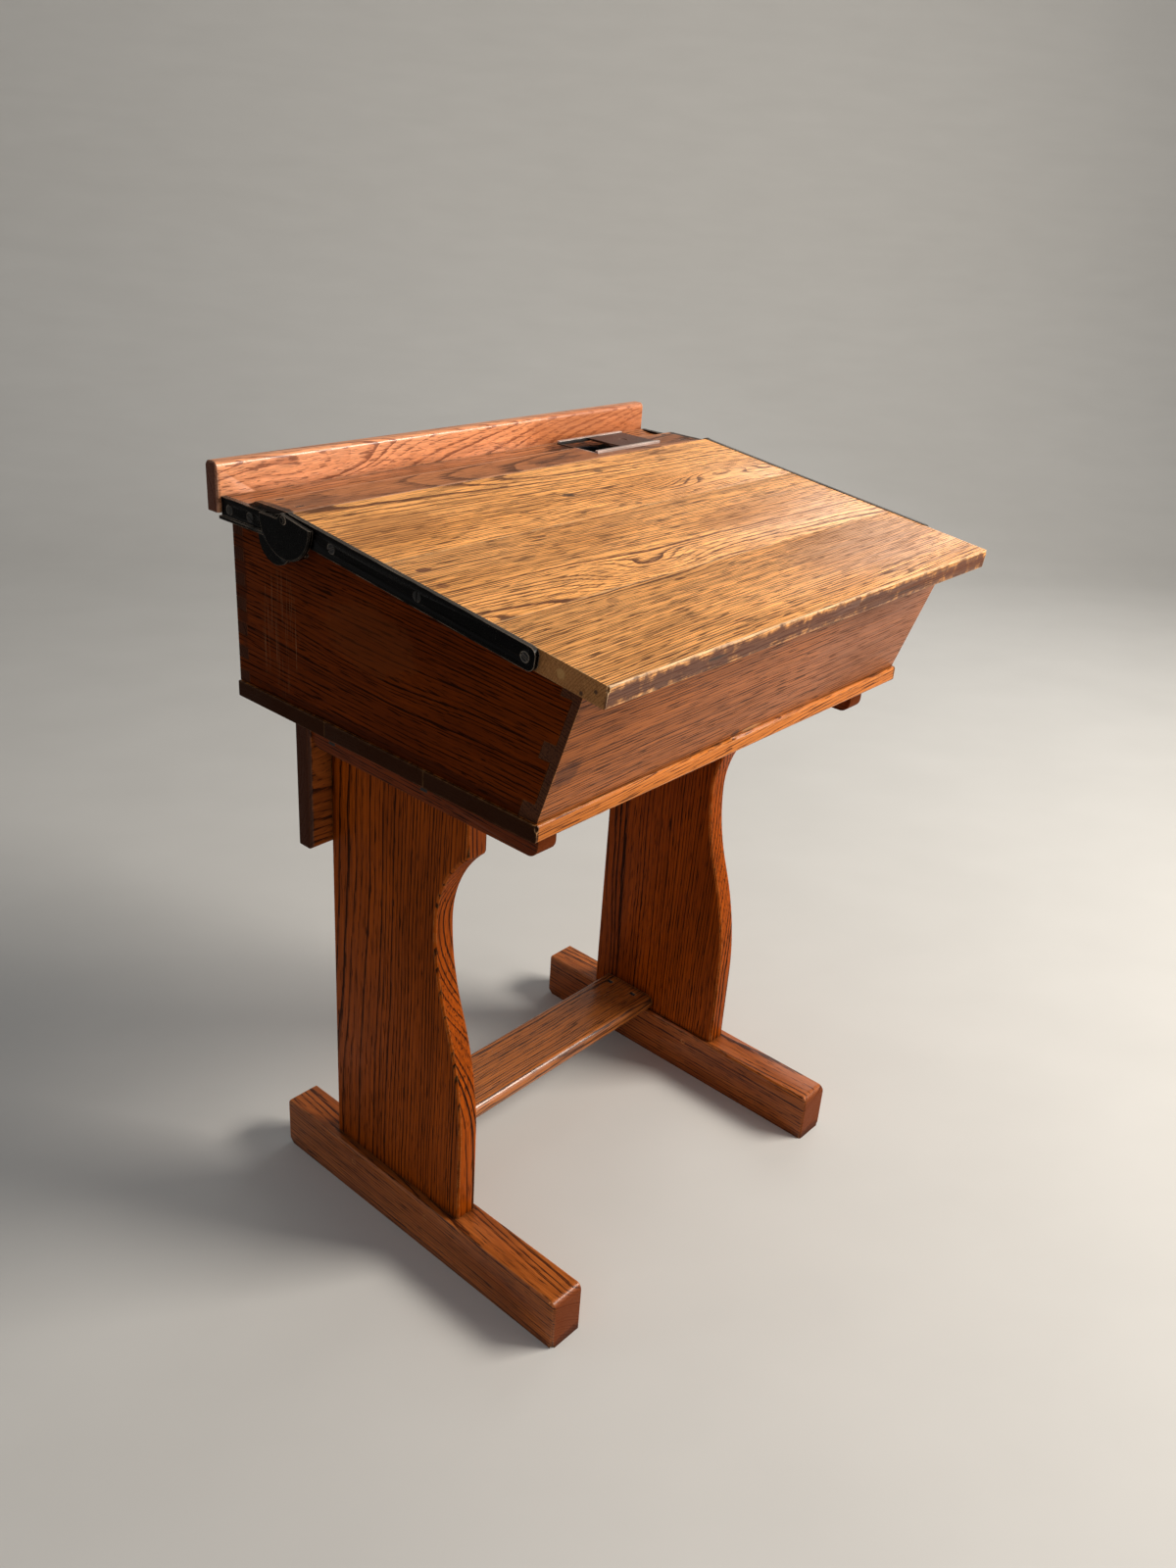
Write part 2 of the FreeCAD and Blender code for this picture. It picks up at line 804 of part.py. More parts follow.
def floor_stretcher():
    """The flat rail between the legs, on the feet, with a full round front edge."""
    body = new_body("floor_stretcher")
    outline = rectangle(stretcher_front, stretcher_back, foot_top, stretcher_top)
    board = plank(body, outline, leg_inner)

    def front_edges(edge, middle):
        return is_along(edge, ACROSS) and near_to(middle.y, stretcher_front)

    rounded = dress(body, "Fillet", board, d.stretcher_front_round, front_edges)
    dress(body, "Fillet", rounded, d.stretcher_back_round, at_point(stretcher_back, stretcher_top))
    cut_all(body, stretcher_nails)
    return body


def rear_rail():
    """The upright rail nailed to the back edges of the legs, under the box."""
    body = new_body("rear_rail")
    half = d.rail_length * HALF
    board = plank(body, rectangle(leg_back, rail_back, rail_under, box_under), half)

    def exposed_edges(edge, middle):
        is_end = near_to(abs(middle.x), half) and is_along(edge, UP)
        return is_end or (near_to(middle.z, rail_under) and is_along(edge, ACROSS))

    dress(body, "Chamfer", board, d.rail_edge_chamfer, exposed_edges)
    cut_all(body, rail_nails)
    return body


def bearer(side, name):
    """A bearer under the box, outside a leg, with its lower corners rounded off."""
    body = new_body(f"bearer_{name}")
    outline = rectangle(bearer_front, leg_back, bearer_under, box_under)
    block = slab(body, outline, leg_outer, bearer_outer, side)

    def lower_corners(edge, middle):
        return is_along(edge, ACROSS) and near_to(middle.z, bearer_under)

    dress(body, "Fillet", block, d.bearer_nose_round, lower_corners)
    cut_own_side(body, bottom_nails, side)
    cut_own_side(body, bearer_nails, side)
    return body


# ---------------------------------------------------------------- box


def bottom_boards():
    """The box's bottom: three boards glued edge to edge, the front one with a rounded nose."""
    joints = [bottom_front, bottom_joint_front, bottom_joint_back, d.box_back]
    bend = d.bottom_edge_round
    boards = []
    for name, front, back in zip(("front", "middle", "rear"), joints, joints[1:]):
        body = new_body(f"bottom_board_{name}")
        outline = rectangle(front, back, box_under, box_floor)
        if name == "front":
            outline = [(front + bend, box_under), (back, box_under), (back, box_floor),
                       (front + bend, box_floor), (front, box_floor - bend, bend, 1),
                       (front, box_under + bend)]
            outline[0] = (*outline[0], bend, 1)
        plank(body, outline, bottom_half)
        for nail, spot in enumerate(bottom_nails.spots):
            if front.value < spot[1].value < back.value:
                bottom_nails.cut(body, nail)
        boards.append(body)
    return boards


finger_pitch = d.box_height / d.finger_count
back_inner = d.box_back - d.back_thickness


def finger_pattern(body, feature):
    """Repeat the lowest finger or notch up the corner."""
    document.recompute()
    pattern = body.newObject("PartDesign::LinearPattern", "Comb")
    pattern.Originals = [feature]
    pattern.Direction = (next(item for item in body.Origin.OriginFeatures if item.Role == "Z_Axis"), [""])
    pattern.Mode = "Extent"
    pattern.Length = (finger_pitch * (d.finger_count - 1)).value
    bind(pattern, "Length", finger_pitch * (d.finger_count - 1))
    pattern.Occurrences = round(d.finger_count.value)
    bind(pattern, "Occurrences", d.finger_count)
    body.Tip = pattern
    document.recompute()
    return pattern


def front_pins():
    """Side views of the three pins of the front board, lowest first."""
    inner = d.front_thickness
    top_inner = front_top(inner)
    top_outer = front_top(d.front_lip)
    pitch = (top_inner[1] - box_floor - d.front_pin_height) * HALF
    pins = []
    for number in range(2):
        low = box_floor + pitch * number
        high = low + d.front_pin_height
        pins.append([on_front(d.front_lip, low), on_front(inner, low),
                     on_front(inner, high), on_front(d.front_lip, high)])
    low = box_floor + pitch * 2
    pins.append([on_front(d.front_lip, low), on_front(inner, low), top_inner, top_outer])
    return pins


def side_board(side, name):
    """A side of the box: notched at the back for the comb joint, and at the front for the pins."""
    body = new_body(f"box_side_{name}")
    knee = pivot_y + (shelf_under - seat_height(pivot_y)) / slope_of(d.lid_slope)
    outline = [on_front(d.front_lip, box_floor), (d.box_back, box_floor), (d.box_back, shelf_under),
               (knee, shelf_under), front_top(d.front_lip)]
    slab(body, outline, inner_half, box_half, side)
    for pin in front_pins():
        slab(body, pin, inner_half, box_half, side, "Pocket")
    notch = rectangle(back_inner, d.box_back, box_floor, box_floor + finger_pitch * HALF)
    finger_pattern(body, slab(body, notch, inner_half, box_half, side, "Pocket"))
    cut_own_side(body, shelf_nails, side)
    return body


def back_board():
    """The back of the box, with comb fingers through both sides."""
    body = new_body("box_back_board")
    plank(body, rectangle(back_inner, d.box_back, box_floor, shelf_under), inner_half)
    sketch = new_sketch(body, "XZ_Plane", -d.box_back)
    finger_top = box_floor + finger_pitch * HALF
    draw_outline(sketch, rectangle(-box_half, -inner_half, box_floor, finger_top))
    draw_outline(sketch, rectangle(inner_half, box_half, box_floor, finger_top))
    finger_pattern(body, extrude(body, "Pad", sketch, d.back_thickness, True))
    return body


def front_board():
    """The leaning front: a full-width lip, a core between the sides, and pins into the sides."""
    body = new_body("box_front_board")
    lip = [on_front(ZERO, box_floor), on_front(d.front_lip, box_floor),
           front_top(d.front_lip), front_top(ZERO)]
    plank(body, lip, box_half)
    core = [on_front(d.front_lip, box_floor), on_front(d.front_thickness, box_floor),
            front_top(d.front_thickness), front_top(d.front_lip)]
    plank(body, core, inner_half)
    for side, _ in BOTH_SIDES:
        for pin in front_pins():
            slab(body, pin, inner_half, box_half, side)
    return body


# ---------------------------------------------------------------- shelf and gallery

frame_back = groove_front + d.inkwell_overhang
frame_front = frame_back - d.frame_width
frame_right = d.inkwell_left + d.frame_length
frame_middle = (frame_front + frame_back) * HALF
mouth_left = d.inkwell_left + d.frame_margin
mouth_right = mouth_left + d.mouth_length
mouth_front = frame_middle - d.mouth_width * HALF
mouth_back = frame_middle + d.mouth_width * HALF
pot_x = (mouth_left + mouth_right) * HALF
pot_seat = shelf_top - d.pot_seat_depth
plate_seat = shelf_top - d.frame_thickness


def top_shelf():
    """The fixed shelf, nailed to the box's sides: a pen groove, and recesses for the inkwell."""
    body = new_body("top_shelf")
    outline = [
        (shelf_front, shelf_under),
        (gallery_front, shelf_under),
        (gallery_front, shelf_top - d.groove_depth),
        (groove_front, shelf_top, d.groove_radius, -1),
        (shelf_front, shelf_top),
    ]
    board = plank(body, outline, shelf_half)
    dress(body, "Fillet", board, d.shelf_arris, at_point(shelf_front, shelf_top))
    plate = rectangle(d.inkwell_left, frame_right, frame_front, frame_back)
    plan_slab(body, plate, plate_seat, shelf_top, "Pocket")
    mouth = rectangle(mouth_left, mouth_right, mouth_front, mouth_back)
    plan_slab(body, mouth, pot_seat, shelf_top, "Pocket")
    round_hole(body, "XY_Plane", (pot_x, frame_middle), d.pot_radius + d.pot_hole_gap, shelf_under,
               d.shelf_thickness)
    cut_all(body, plate_screws, with_head=False)
    cut_all(body, gallery_nails)
    cut_all(body, shelf_nails)
    return body


def gallery():
    """The upstand behind the shelf, rounded along its top. It runs past the left end of the shelf,
    and stops at the right one."""
    body = new_body("gallery_rail")
    top = shelf_under + d.gallery_height
    left = -(shelf_half + d.gallery_left_overhang)
    right = left + d.gallery_length
    rail = slab(body, rectangle(gallery_front, gallery_back, shelf_under, top), left, right)

    def top_edges(edge, middle):
        return near_to(middle.z, top) and is_along(edge, ACROSS)

    def end_edges(edge, middle):
        at_end = near_to(middle.x, left) or near_to(middle.x, right)
        return at_end and middle.z > shelf_under.value + 1

    rounded = dress(body, "Fillet", rail, d.gallery_round, top_edges)
    dress(body, "Chamfer", rounded, d.gallery_end_chamfer, end_edges)
    cut_all(body, gallery_nails)
    return body


# ---------------------------------------------------------------- stop hinges

cup_inner = d.cup_radius - d.cup_wall
cup_face_near = plate_outer
cup_face_far = cup_face_near + d.cup_face
tail_low = -(d.tail_droop + d.tail_half_angle)
tail_high = d.tail_half_angle - d.tail_droop
stop_face = tail_low - d.lid_opening - d.stop_play_angle
rib_inner = cup_inner - d.stop_rib_depth
rib_end = stop_face - d.stop_rib_angle


def reach(radius, height):
    """How far behind the pivot a circle round it passes a given height above it."""
    return pivot_y + root(radius * radius - height * height)


def lobe_outline():
    """The rounded lobe that stands out behind and below the cup, in two arcs of one circle."""
    base = cup_inner * cosine(d.lobe_half_angle)
    half_chord = cup_inner * sine(d.lobe_half_angle)
    height = d.lobe_reach - base
    radius = (half_chord * half_chord + height * height) / (height * 2)
    upper = d.lobe_half_angle - d.lobe_angle
    lower = -(d.lobe_half_angle + d.lobe_angle)
    return [
        (*about_pivot(cup_inner, lower), cup_inner, -1),
        (*about_pivot(d.lobe_reach, -d.lobe_angle), radius, 1),
        (*about_pivot(cup_inner, upper), radius, 1),
        (*about_pivot(cup_inner, -d.lobe_angle), cup_inner, -1),
    ]


def hinge_plate(side, name):
    """The fixed casting: a plate on the shelf's end, and a cup that guards the arm's tail."""
    body = new_body(f"hinge_plate_{name}")
    above = plate_top - pivot_z
    below = pivot_z - plate_bottom
    bottom_out = about_pivot(d.cup_radius, -90)
    bottom_in = about_pivot(cup_inner, -90)
    face = [
        about_pivot(d.cup_radius, d.cup_mouth_angle + 180),
        (*bottom_out, d.cup_radius, 1),
        (reach(d.cup_radius, above), plate_top, d.cup_radius, 1),
        (pivot_y + d.crown_foot, plate_top),
        (pivot_y + d.crown_back, pivot_z + d.crown_rise),
    ]
    cup = slab(body, face, cup_face_near, cup_face_far, side)

    def cup_edge(edge, middle):
        on_face = near_to(abs(middle.x), cup_face_far)
        return on_face and edge.Curve.TypeId == "Part::GeomCircle"

    dress(body, "Chamfer", cup, d.cup_edge_chamfer, cup_edge)
    rim = [
        about_pivot(d.cup_radius, rib_end),
        (*bottom_out, d.cup_radius, 1),
        (reach(d.cup_radius, above), plate_top, d.cup_radius, 1),
        (reach(cup_inner, above), plate_top),
        (*bottom_in, cup_inner, -1),
        (*about_pivot(cup_inner, rib_end), cup_inner, -1),
    ]
    slab(body, rim, shelf_half, cup_face_far - d.cup_edge_chamfer, side)
    slab(body, lobe_outline(), shelf_half, shelf_half + d.lobe_thickness, side)
    web = [
        (reach(cup_inner, above), plate_top, cup_inner, 1),
        (gallery_front, plate_top),
        (gallery_front, plate_bottom),
        (reach(cup_inner, below), plate_bottom),
    ]
    slab(body, web, shelf_half, plate_outer, side)
    lip = rectangle(reach(d.cup_radius, below), gallery_front, plate_bottom, plate_bottom + d.plate_lip)
    slab(body, lip, shelf_half, plate_outer + d.plate_lip, side)
    rib_outer = cup_inner + d.cup_wall * HALF
    rib = [
        about_pivot(rib_inner, stop_face),
        (*about_pivot(rib_inner, rib_end), rib_inner, -1),
        about_pivot(rib_outer, rib_end),
        (*about_pivot(rib_outer, stop_face), rib_outer, 1),
    ]
    slab(body, rib, shelf_half, cup_face_near + d.cup_face * HALF, side)
    drill(body, (cup_face_far * side, pivot_y, pivot_z), -ACROSS * side, d.pin_radius,
          d.cup_face)
    cut_own_side(body, plate_screws, side)
    return body


def hinge_pins():
    """Two rivets, each tight in a cup's face and free in an arm's eye."""
    pieces = []
    for side, _ in BOTH_SIDES:
        shank = document.addObject("Part::Cylinder", "PinShank")
        start = lid_half + d.pin_end_gap
        bind(shank, "Radius", d.pin_radius)
        bind(shank, "Height", cup_face_far - start + d.pin_head_height * HALF)
        place(shank, (start * side, pivot_y, pivot_z), ACROSS * side)
        head = document.addObject("Part::Cone", "PinHead")
        bind(head, "Radius1", d.pin_head_radius)
        bind(head, "Radius2", d.pin_radius)
        bind(head, "Height", d.pin_head_height)
        place(head, (cup_face_far * side, pivot_y, pivot_z), ACROSS * side)
        pieces += [shank, head]
    return group_of("hinge_pins", pieces)


def lid_arm(side, name):
    """The moving strap on the lid's end, with an eye round the pin and a tail that meets the stop."""
    body = new_body(f"lid_arm_{name}")
    start = root(d.eye_radius * d.eye_radius - arm_top * arm_top)
    end = d.arm_length
    bend = d.arm_end_round
    outline = [
        on_lid(start, arm_top),
        on_lid(end - bend, arm_top),
        (*on_lid(end, arm_top - bend), bend, 1),
        on_lid(end, arm_under + bend),
        (*on_lid(end - bend, arm_under), bend, 1),
        on_lid(ZERO, arm_under),
        on_lid(ZERO, -d.eye_radius),
        (*about_pivot(d.eye_radius, tail_low - d.tail_flare_angle), d.eye_radius, 1),
        about_pivot(rib_inner, tail_low),
        about_pivot(d.tail_radius, tail_low),
        (*about_pivot(d.tail_radius, tail_high), d.tail_radius, 1),
        about_pivot(rib_inner, tail_high),
        about_pivot(d.eye_radius, tail_high + d.tail_flare_angle),
    ]
    outline[0] = (*outline[0], d.eye_radius, 1)
    slab(body, outline, lid_half, arm_outer, side)
    drill(body, (arm_outer * side, pivot_y, pivot_z), -ACROSS * side, d.pin_radius + d.pin_clearance,
          d.arm_thickness)
    cut_own_side(body, arm_screws, side)
    return body


# ---------------------------------------------------------------- lid


def lid_boards():
    """Three boards glued edge to edge; the rear one is rounded about the hinge pins."""
    back_under = (pivot_y + d.lid_back_round,
                  pivot_z + lid_under / cosine(d.lid_slope)
                  + d.lid_back_round * slope_of(d.lid_slope))
    joint_front = d.lid_length - d.lid_front_board
    joint_back = joint_front - d.lid_middle_board
    rear = [
        on_lid(joint_back, lid_top),
        on_lid(joint_back, lid_under),
        back_under,
        (pivot_y + d.lid_back_round, pivot_z),
        (*on_lid(ZERO, lid_top), d.lid_back_round, 1),
    ]
    middle = [on_lid(joint_front, lid_top), on_lid(joint_front, lid_under),
              on_lid(joint_back, lid_under), on_lid(joint_back, lid_top)]
    front = [on_lid(d.lid_length, lid_top), on_lid(d.lid_length, lid_under),
             on_lid(joint_front, lid_under), on_lid(joint_front, lid_top)]
    spans = {"rear": (ZERO, joint_back), "middle": (joint_back, joint_front),
             "front": (joint_front, d.lid_length)}
    boards = []
    for name, outline in (("rear", rear), ("middle", middle), ("front", front)):
        body = new_body(f"lid_board_{name}")
        board = plank(body, outline, lid_half)
        if name == "front":
            edges = [at_point(*outline[0]), at_point(*outline[1])]
            dress(body, "Fillet", board, d.lid_front_round,
                  lambda edge, middle: any(test(edge, middle) for test in edges))
        low, high = spans[name]
        for number, share in enumerate(ARM_SCREW_PLACES * 2):
            if low.value < d.arm_length.value * share < high.value:
                arm_screws.cut(body, number, with_head=False)
        boards.append(body)
    return boards


# ---------------------------------------------------------------- inkwell

cover_under = shelf_top + d.slide_gap
cover_top = cover_under + d.cover_thickness
rail_top = cover_top + d.slide_gap + d.rail_lip_thickness


def inkwell_frame():
    """A pressed frame let into the shelf, with two folded rails that hold the cover."""
    body = new_body("inkwell_frame")
    plate = rectangle(d.inkwell_left, frame_right, frame_front, frame_back)
    plan_slab(body, plate, plate_seat, shelf_top)
    lip_under = rail_top - d.rail_lip_thickness
    for edge_y, inward in ((frame_front, 1), (frame_back, -1)):
        wall = edge_y + d.rail_wall * inward
        lip = wall + d.rail_lip * inward
        rail = [(edge_y, shelf_top), (wall, shelf_top), (wall, lip_under),
                (lip, lip_under), (lip, rail_top), (edge_y, rail_top)]
        slab(body, rail, d.inkwell_left, frame_right)
    mouth = rectangle(mouth_left, mouth_right, mouth_front, mouth_back)
    plan_slab(body, mouth, plate_seat, shelf_top, "Pocket")
    return body


def inkwell_cover():
    """The flat cover, slid to the right at rest, with a finger dimple."""
    body = new_body("inkwell_cover")
    left = frame_right - d.cover_length
    front = frame_front + d.rail_wall + d.slide_gap
    back = frame_back - d.rail_wall - d.slide_gap
    plan_slab(body, rectangle(left, frame_right, front, back), cover_under, cover_top)
    middle = ((left + frame_right) * HALF, frame_middle)
    round_hole(body, "XY_Plane", middle, d.dimple_radius, cover_top, d.dimple_depth, False)
    return body


def inkwell_pot():
    """A straight glazed pot with a bevelled foot, hung by its rim in the shelf."""
    body = new_body("inkwell_pot")
    sketch = new_sketch(body, "XZ_Plane", ZERO)
    top = pot_seat + d.pot_rim_thickness
    base = top - d.pot_depth
    inner = d.pot_radius - d.pot_wall
    shoulder = base + d.pot_radius - d.pot_base_radius
    draw_outline(sketch, [
        (ZERO, base), (d.pot_base_radius, base), (d.pot_radius, shoulder), (d.pot_radius, pot_seat),
        (d.pot_rim_radius, pot_seat), (d.pot_rim_radius, top), (inner, top),
        (inner, base + d.pot_wall), (ZERO, base + d.pot_wall)])
    turned = body.newObject("PartDesign::Revolution", "Turned")
    turned.Profile = sketch
    turned.ReferenceAxis = (sketch, ["V_Axis"])
    document.recompute()
    body.Placement = Placement(Vector(pot_x.value, frame_middle.value, 0), Rotation())
    bind(body, "Placement.Base.x", pot_x)
    bind(body, "Placement.Base.y", frame_middle)
    return body


# ---------------------------------------------------------------- build, check and export


def build_all():
    nodes = []
    for side, name in BOTH_SIDES:
        nodes += [foot(side, name), leg(side, name), bearer(side, name), side_board(side, name),
                  hinge_plate(side, name), lid_arm(side, name)]
    nodes += [hinge_pins(), foot_pegs(), floor_stretcher(), rear_rail()]
    nodes += bottom_boards()
    nodes += [front_board(), back_board(), top_shelf(), gallery()]
    nodes += lid_boards()
    nodes += [inkwell_frame(), inkwell_cover(), inkwell_pot()]
    for fixings in (plate_screws, arm_screws, bearer_nails, rail_nails, stretcher_nails,
                    shelf_nails, bottom_nails, gallery_nails):
        nodes.append(fixings.build())
    document.recompute()
    return nodes


def check(nodes):
    """Stop before anything is written if a feature failed or a solid isn't sound."""
    for item in document.Objects:
        if "Invalid" in item.State or "Error" in item.State:
            raise RuntimeError(f"{item.Name} ({item.Label}) failed: {item.State}")
    for node in nodes:
        if node.Shape.isNull() or not node.Shape.isValid() or not node.Shape.Solids:
            raise RuntimeError(f"{node.Label} has no valid solid")


def export(nodes):
    os.makedirs("parts", exist_ok=True)
    for node in nodes:
        node.Shape.exportStep(f"parts/{node.Label}.step")
        box = node.Shape.BoundBox
        print(f"{node.Label:22s} solids {len(node.Shape.Solids)} volume {node.Shape.Volume:12.1f} "
              f"x {box.XMin:7.1f} {box.XMax:7.1f} y {box.YMin:7.1f} {box.YMax:7.1f} "
              f"z {box.ZMin:7.1f} {box.ZMax:7.1f}")


nodes = build_all()
check(nodes)
export(nodes)
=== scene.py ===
import json
import math

import bmesh
import bpy
from mathutils import Matrix, Vector, noise

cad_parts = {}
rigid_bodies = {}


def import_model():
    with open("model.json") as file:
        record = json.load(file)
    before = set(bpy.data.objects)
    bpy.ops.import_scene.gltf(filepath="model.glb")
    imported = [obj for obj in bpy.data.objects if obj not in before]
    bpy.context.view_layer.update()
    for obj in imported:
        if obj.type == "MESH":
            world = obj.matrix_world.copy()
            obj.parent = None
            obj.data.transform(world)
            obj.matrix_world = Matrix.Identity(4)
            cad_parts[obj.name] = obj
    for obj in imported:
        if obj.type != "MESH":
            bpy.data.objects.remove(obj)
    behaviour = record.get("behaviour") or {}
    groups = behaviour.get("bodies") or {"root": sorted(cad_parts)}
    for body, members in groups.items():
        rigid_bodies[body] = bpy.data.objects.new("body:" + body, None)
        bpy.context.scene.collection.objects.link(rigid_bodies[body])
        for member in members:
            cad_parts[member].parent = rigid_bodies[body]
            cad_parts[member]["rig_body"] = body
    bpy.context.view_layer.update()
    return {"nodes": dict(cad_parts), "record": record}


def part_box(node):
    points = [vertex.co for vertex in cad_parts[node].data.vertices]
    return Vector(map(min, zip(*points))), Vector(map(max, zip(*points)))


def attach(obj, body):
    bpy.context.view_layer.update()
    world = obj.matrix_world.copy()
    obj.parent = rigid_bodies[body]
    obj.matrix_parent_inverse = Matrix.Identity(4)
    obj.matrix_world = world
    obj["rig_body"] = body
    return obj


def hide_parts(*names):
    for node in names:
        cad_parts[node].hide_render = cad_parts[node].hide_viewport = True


# The looks of a sloping-lid school or clerk's desk in stained oak, with black iron stop hinges.
# Metres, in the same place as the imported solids: +X to the user's right, +Y to the back, +Z up.

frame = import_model()
nodes = frame["nodes"]

MM = 0.001


# ---------------------------------------------------------------- colours and node graphs


def colour(code):
    """An sRGB hex code as the linear colour that shaders take."""
    channels = [int(code[start:start + 2], 16) / 255 for start in (1, 3, 5)]
    linear = [c / 12.92 if c <= 0.04045 else ((c + 0.055) / 1.055) ** 2.4 for c in channels]
    return (*linear, 1.0)


def add(tree, kind, inputs=None, **settings):
    """Add a node, set its settings, and fill each input with a value or a link.

    Inputs go by name, or by number where several share one: a Mix of colours has its share at 0
    and its colours at 6 and 7, a MapRange has its value at 0, the range it reads at 1 and 2 and
    the range it gives at 3 and 4, and a VectorMath that scales has its factor at 3."""
    node = tree.nodes.new("ShaderNode" + kind)
    for name, value in settings.items():
        setattr(node, name, value)
    for name, value in (inputs or {}).items():
        if isinstance(value, bpy.types.NodeSocket):
            tree.links.new(value, node.inputs[name])
        else:
            node.inputs[name].default_value = value
    return node


def new_material(name):
    """An empty material, and the tree to build in."""
    material = bpy.data.materials.new(name)
    material.use_nodes = True
    material.node_tree.nodes.clear()
    return material, material.node_tree


# The span that most of a noise texture's values lie in.
NOISE_LOW = 0.3
NOISE_HIGH = 0.7
# A spot's mask, in half sizes of the spot with the noise of its outline added.
SPOT_FULL = 1.25
SPOT_GONE = 1.7


def steps_away(tree, place, middle, size):
    """How far a place lies from a middle, counted in half sizes along each axis."""
    inverse = [1 / side for side in size]
    away = add(tree, "VectorMath", {0: place, 1: middle}, operation="SUBTRACT").outputs[0]
    away = add(tree, "VectorMath", {0: away, 1: inverse}, operation="MULTIPLY").outputs[0]
    return add(tree, "VectorMath", {0: away}, operation="LENGTH").outputs["Value"]


def spot(tree, place, wobble, middle, size):
    """A soft-edged mask round one place, with a wandering outline."""
    away = steps_away(tree, place, middle, size)
    away = add(tree, "Math", {0: wobble, 1: away}, operation="ADD").outputs[0]
    return add(tree, "MapRange", {0: away, 1: SPOT_GONE, 2: SPOT_FULL},
               interpolation_type="SMOOTHSTEP").outputs[0]


def lay_marks(tree, under, place, wobble, marks):
    """Lay marks over a colour. Each is a hex colour, a strength, a middle and its half sizes."""
    for code, strength, middle, size in marks:
        mask = spot(tree, place, wobble, middle, size)
        mask = add(tree, "Math", {0: mask, 1: strength}, operation="MULTIPLY").outputs[0]
        under = add(tree, "Mix", {0: mask, 6: under, 7: colour(code)}, data_type="RGBA").outputs[2]
    return under


def arris_mask(tree, radius, flat, full):
    """1 on an arris and 0 on a flat: the plain normal leaves the rounded one there."""
    rounded = add(tree, "Bevel", {"Radius": radius}, samples=4).outputs[0]
    plain = add(tree, "NewGeometry").outputs["Normal"]
    facing = add(tree, "VectorMath", {0: rounded, 1: plain}, operation="DOT_PRODUCT").outputs["Value"]
    return add(tree, "MapRange", {0: facing, 1: flat, 2: full}).outputs[0]


# ---------------------------------------------------------------- oak

# How a board's grain lies: the turn that brings the grain onto the pattern's X axis.
GRAIN_TURN = {
    "across": (0.0, 0.0, 0.0),
    "deep": (0.0, 0.0, math.radians(-90)),
    "upright": (0.0, math.radians(90), 0.0),
}
GRAIN_AXIS = {"across": (1.0, 0.0, 0.0), "deep": (0.0, 1.0, 0.0), "upright": (0.0, 0.0, 1.0)}

# Real pores are a few tenths of a millimetre wide; here they are drawn several times as wide.
PORE_WIDTH = 1.2 * MM
PORE_LENGTH = 26 * MM
FIBRE_WIDTH = 2.4 * MM
FIBRE_LENGTH = 190 * MM
# A stem sways by this much, in so many waves per metre along its pith and across it.
STEM_SWAY = 13 * MM
SWAY_WAVES = (2.6, 8.0, 8.0)
# The stain takes in patches, again in waves per metre.
PATCH_WAVES = (5.0, 19.0, 19.0)
MARK_RAGGED = 9 * MM

# Wide and narrow years come and go, which moves a ring by part of a year.
YEAR_NOISE = 0.37
YEAR_SHIFT = 1.2
# When the row of pores starts, is full, thins out and ends, as shares of a year.
ROW_STARTS = 0.93
ROW_FULL = 0.99
ROW_THINS = 0.08
ROW_ENDS = 0.36
# A poor year leaves a weak row.
POOR_YEAR = 0.38
GOOD_YEAR = 0.58
WEAK_ROW = 0.35
# How much a row adds to the chance of a pore, and the chance at a pore's rim and in its middle.
ROW_CHANCE = 0.27
PORE_RIM = 0.62
PORE_DEEP = 0.7
PORE_DARK = 0.8
# Where the noise of the stain starts a patch and fills it, and how far the patch hides the wood.
PATCH_RIM = 0.42
PATCH_DEEP = 0.66
PATCH_SHARE = 0.7
# Only a few years in a stem turn into dark heart lines.
HEART_NOISE = 0.21
HEART_RIM = 0.6
HEART_DEEP = 0.66
# Sawn ends: how far a face has turned across the grain, how much of its colour the end takes over,
# how much duller it gets, and at what share of end grain the varnish is gone.
END_STARTS = 0.45
END_FULL = 0.9
END_SHARE = 0.86
END_DULL = 0.35
END_BARE = 0.8
# Scratches lean a little, and only the crests of their noise show.
SCRATCH_LEAN = math.radians(5)
SCRATCH_RIM = 0.6
SCRATCH_DEEP = 0.68
SCRATCH_SHARE = 0.8
# Arrises rubbed by hands and sleeves.
RUB_RADIUS = 2.4 * MM
RUB_FLAT = 0.995
RUB_FULL = 0.86
RUB_LOW = 0.38
RUB_HIGH = 0.6
RUB_LEAST = 0.1
# Dirt and painted shade in corners: how far it reaches, how open a place is where it is unshaded
# and where it is darkest, and how much it darkens the wood there.
CORNER_SHADE_REACH = 14 * MM
CORNER_SHADE_NONE = 0.85
CORNER_SHADE_FULL = 0.35
CORNER_DIRT_AND_SHADE = 0.6
# The varnish: duller in patches and in pores, sunk into the fibres, and glossier in its skin.
DULL_SPREAD = 0.14
PORE_DULL = 0.2
FIBRE_DEPTH = -0.3
GRAIN_DEPTH = 0.22 * MM
GRAIN_STRENGTH = 0.5
COAT_POLISH = 0.7
VARNISH_IOR = 1.5


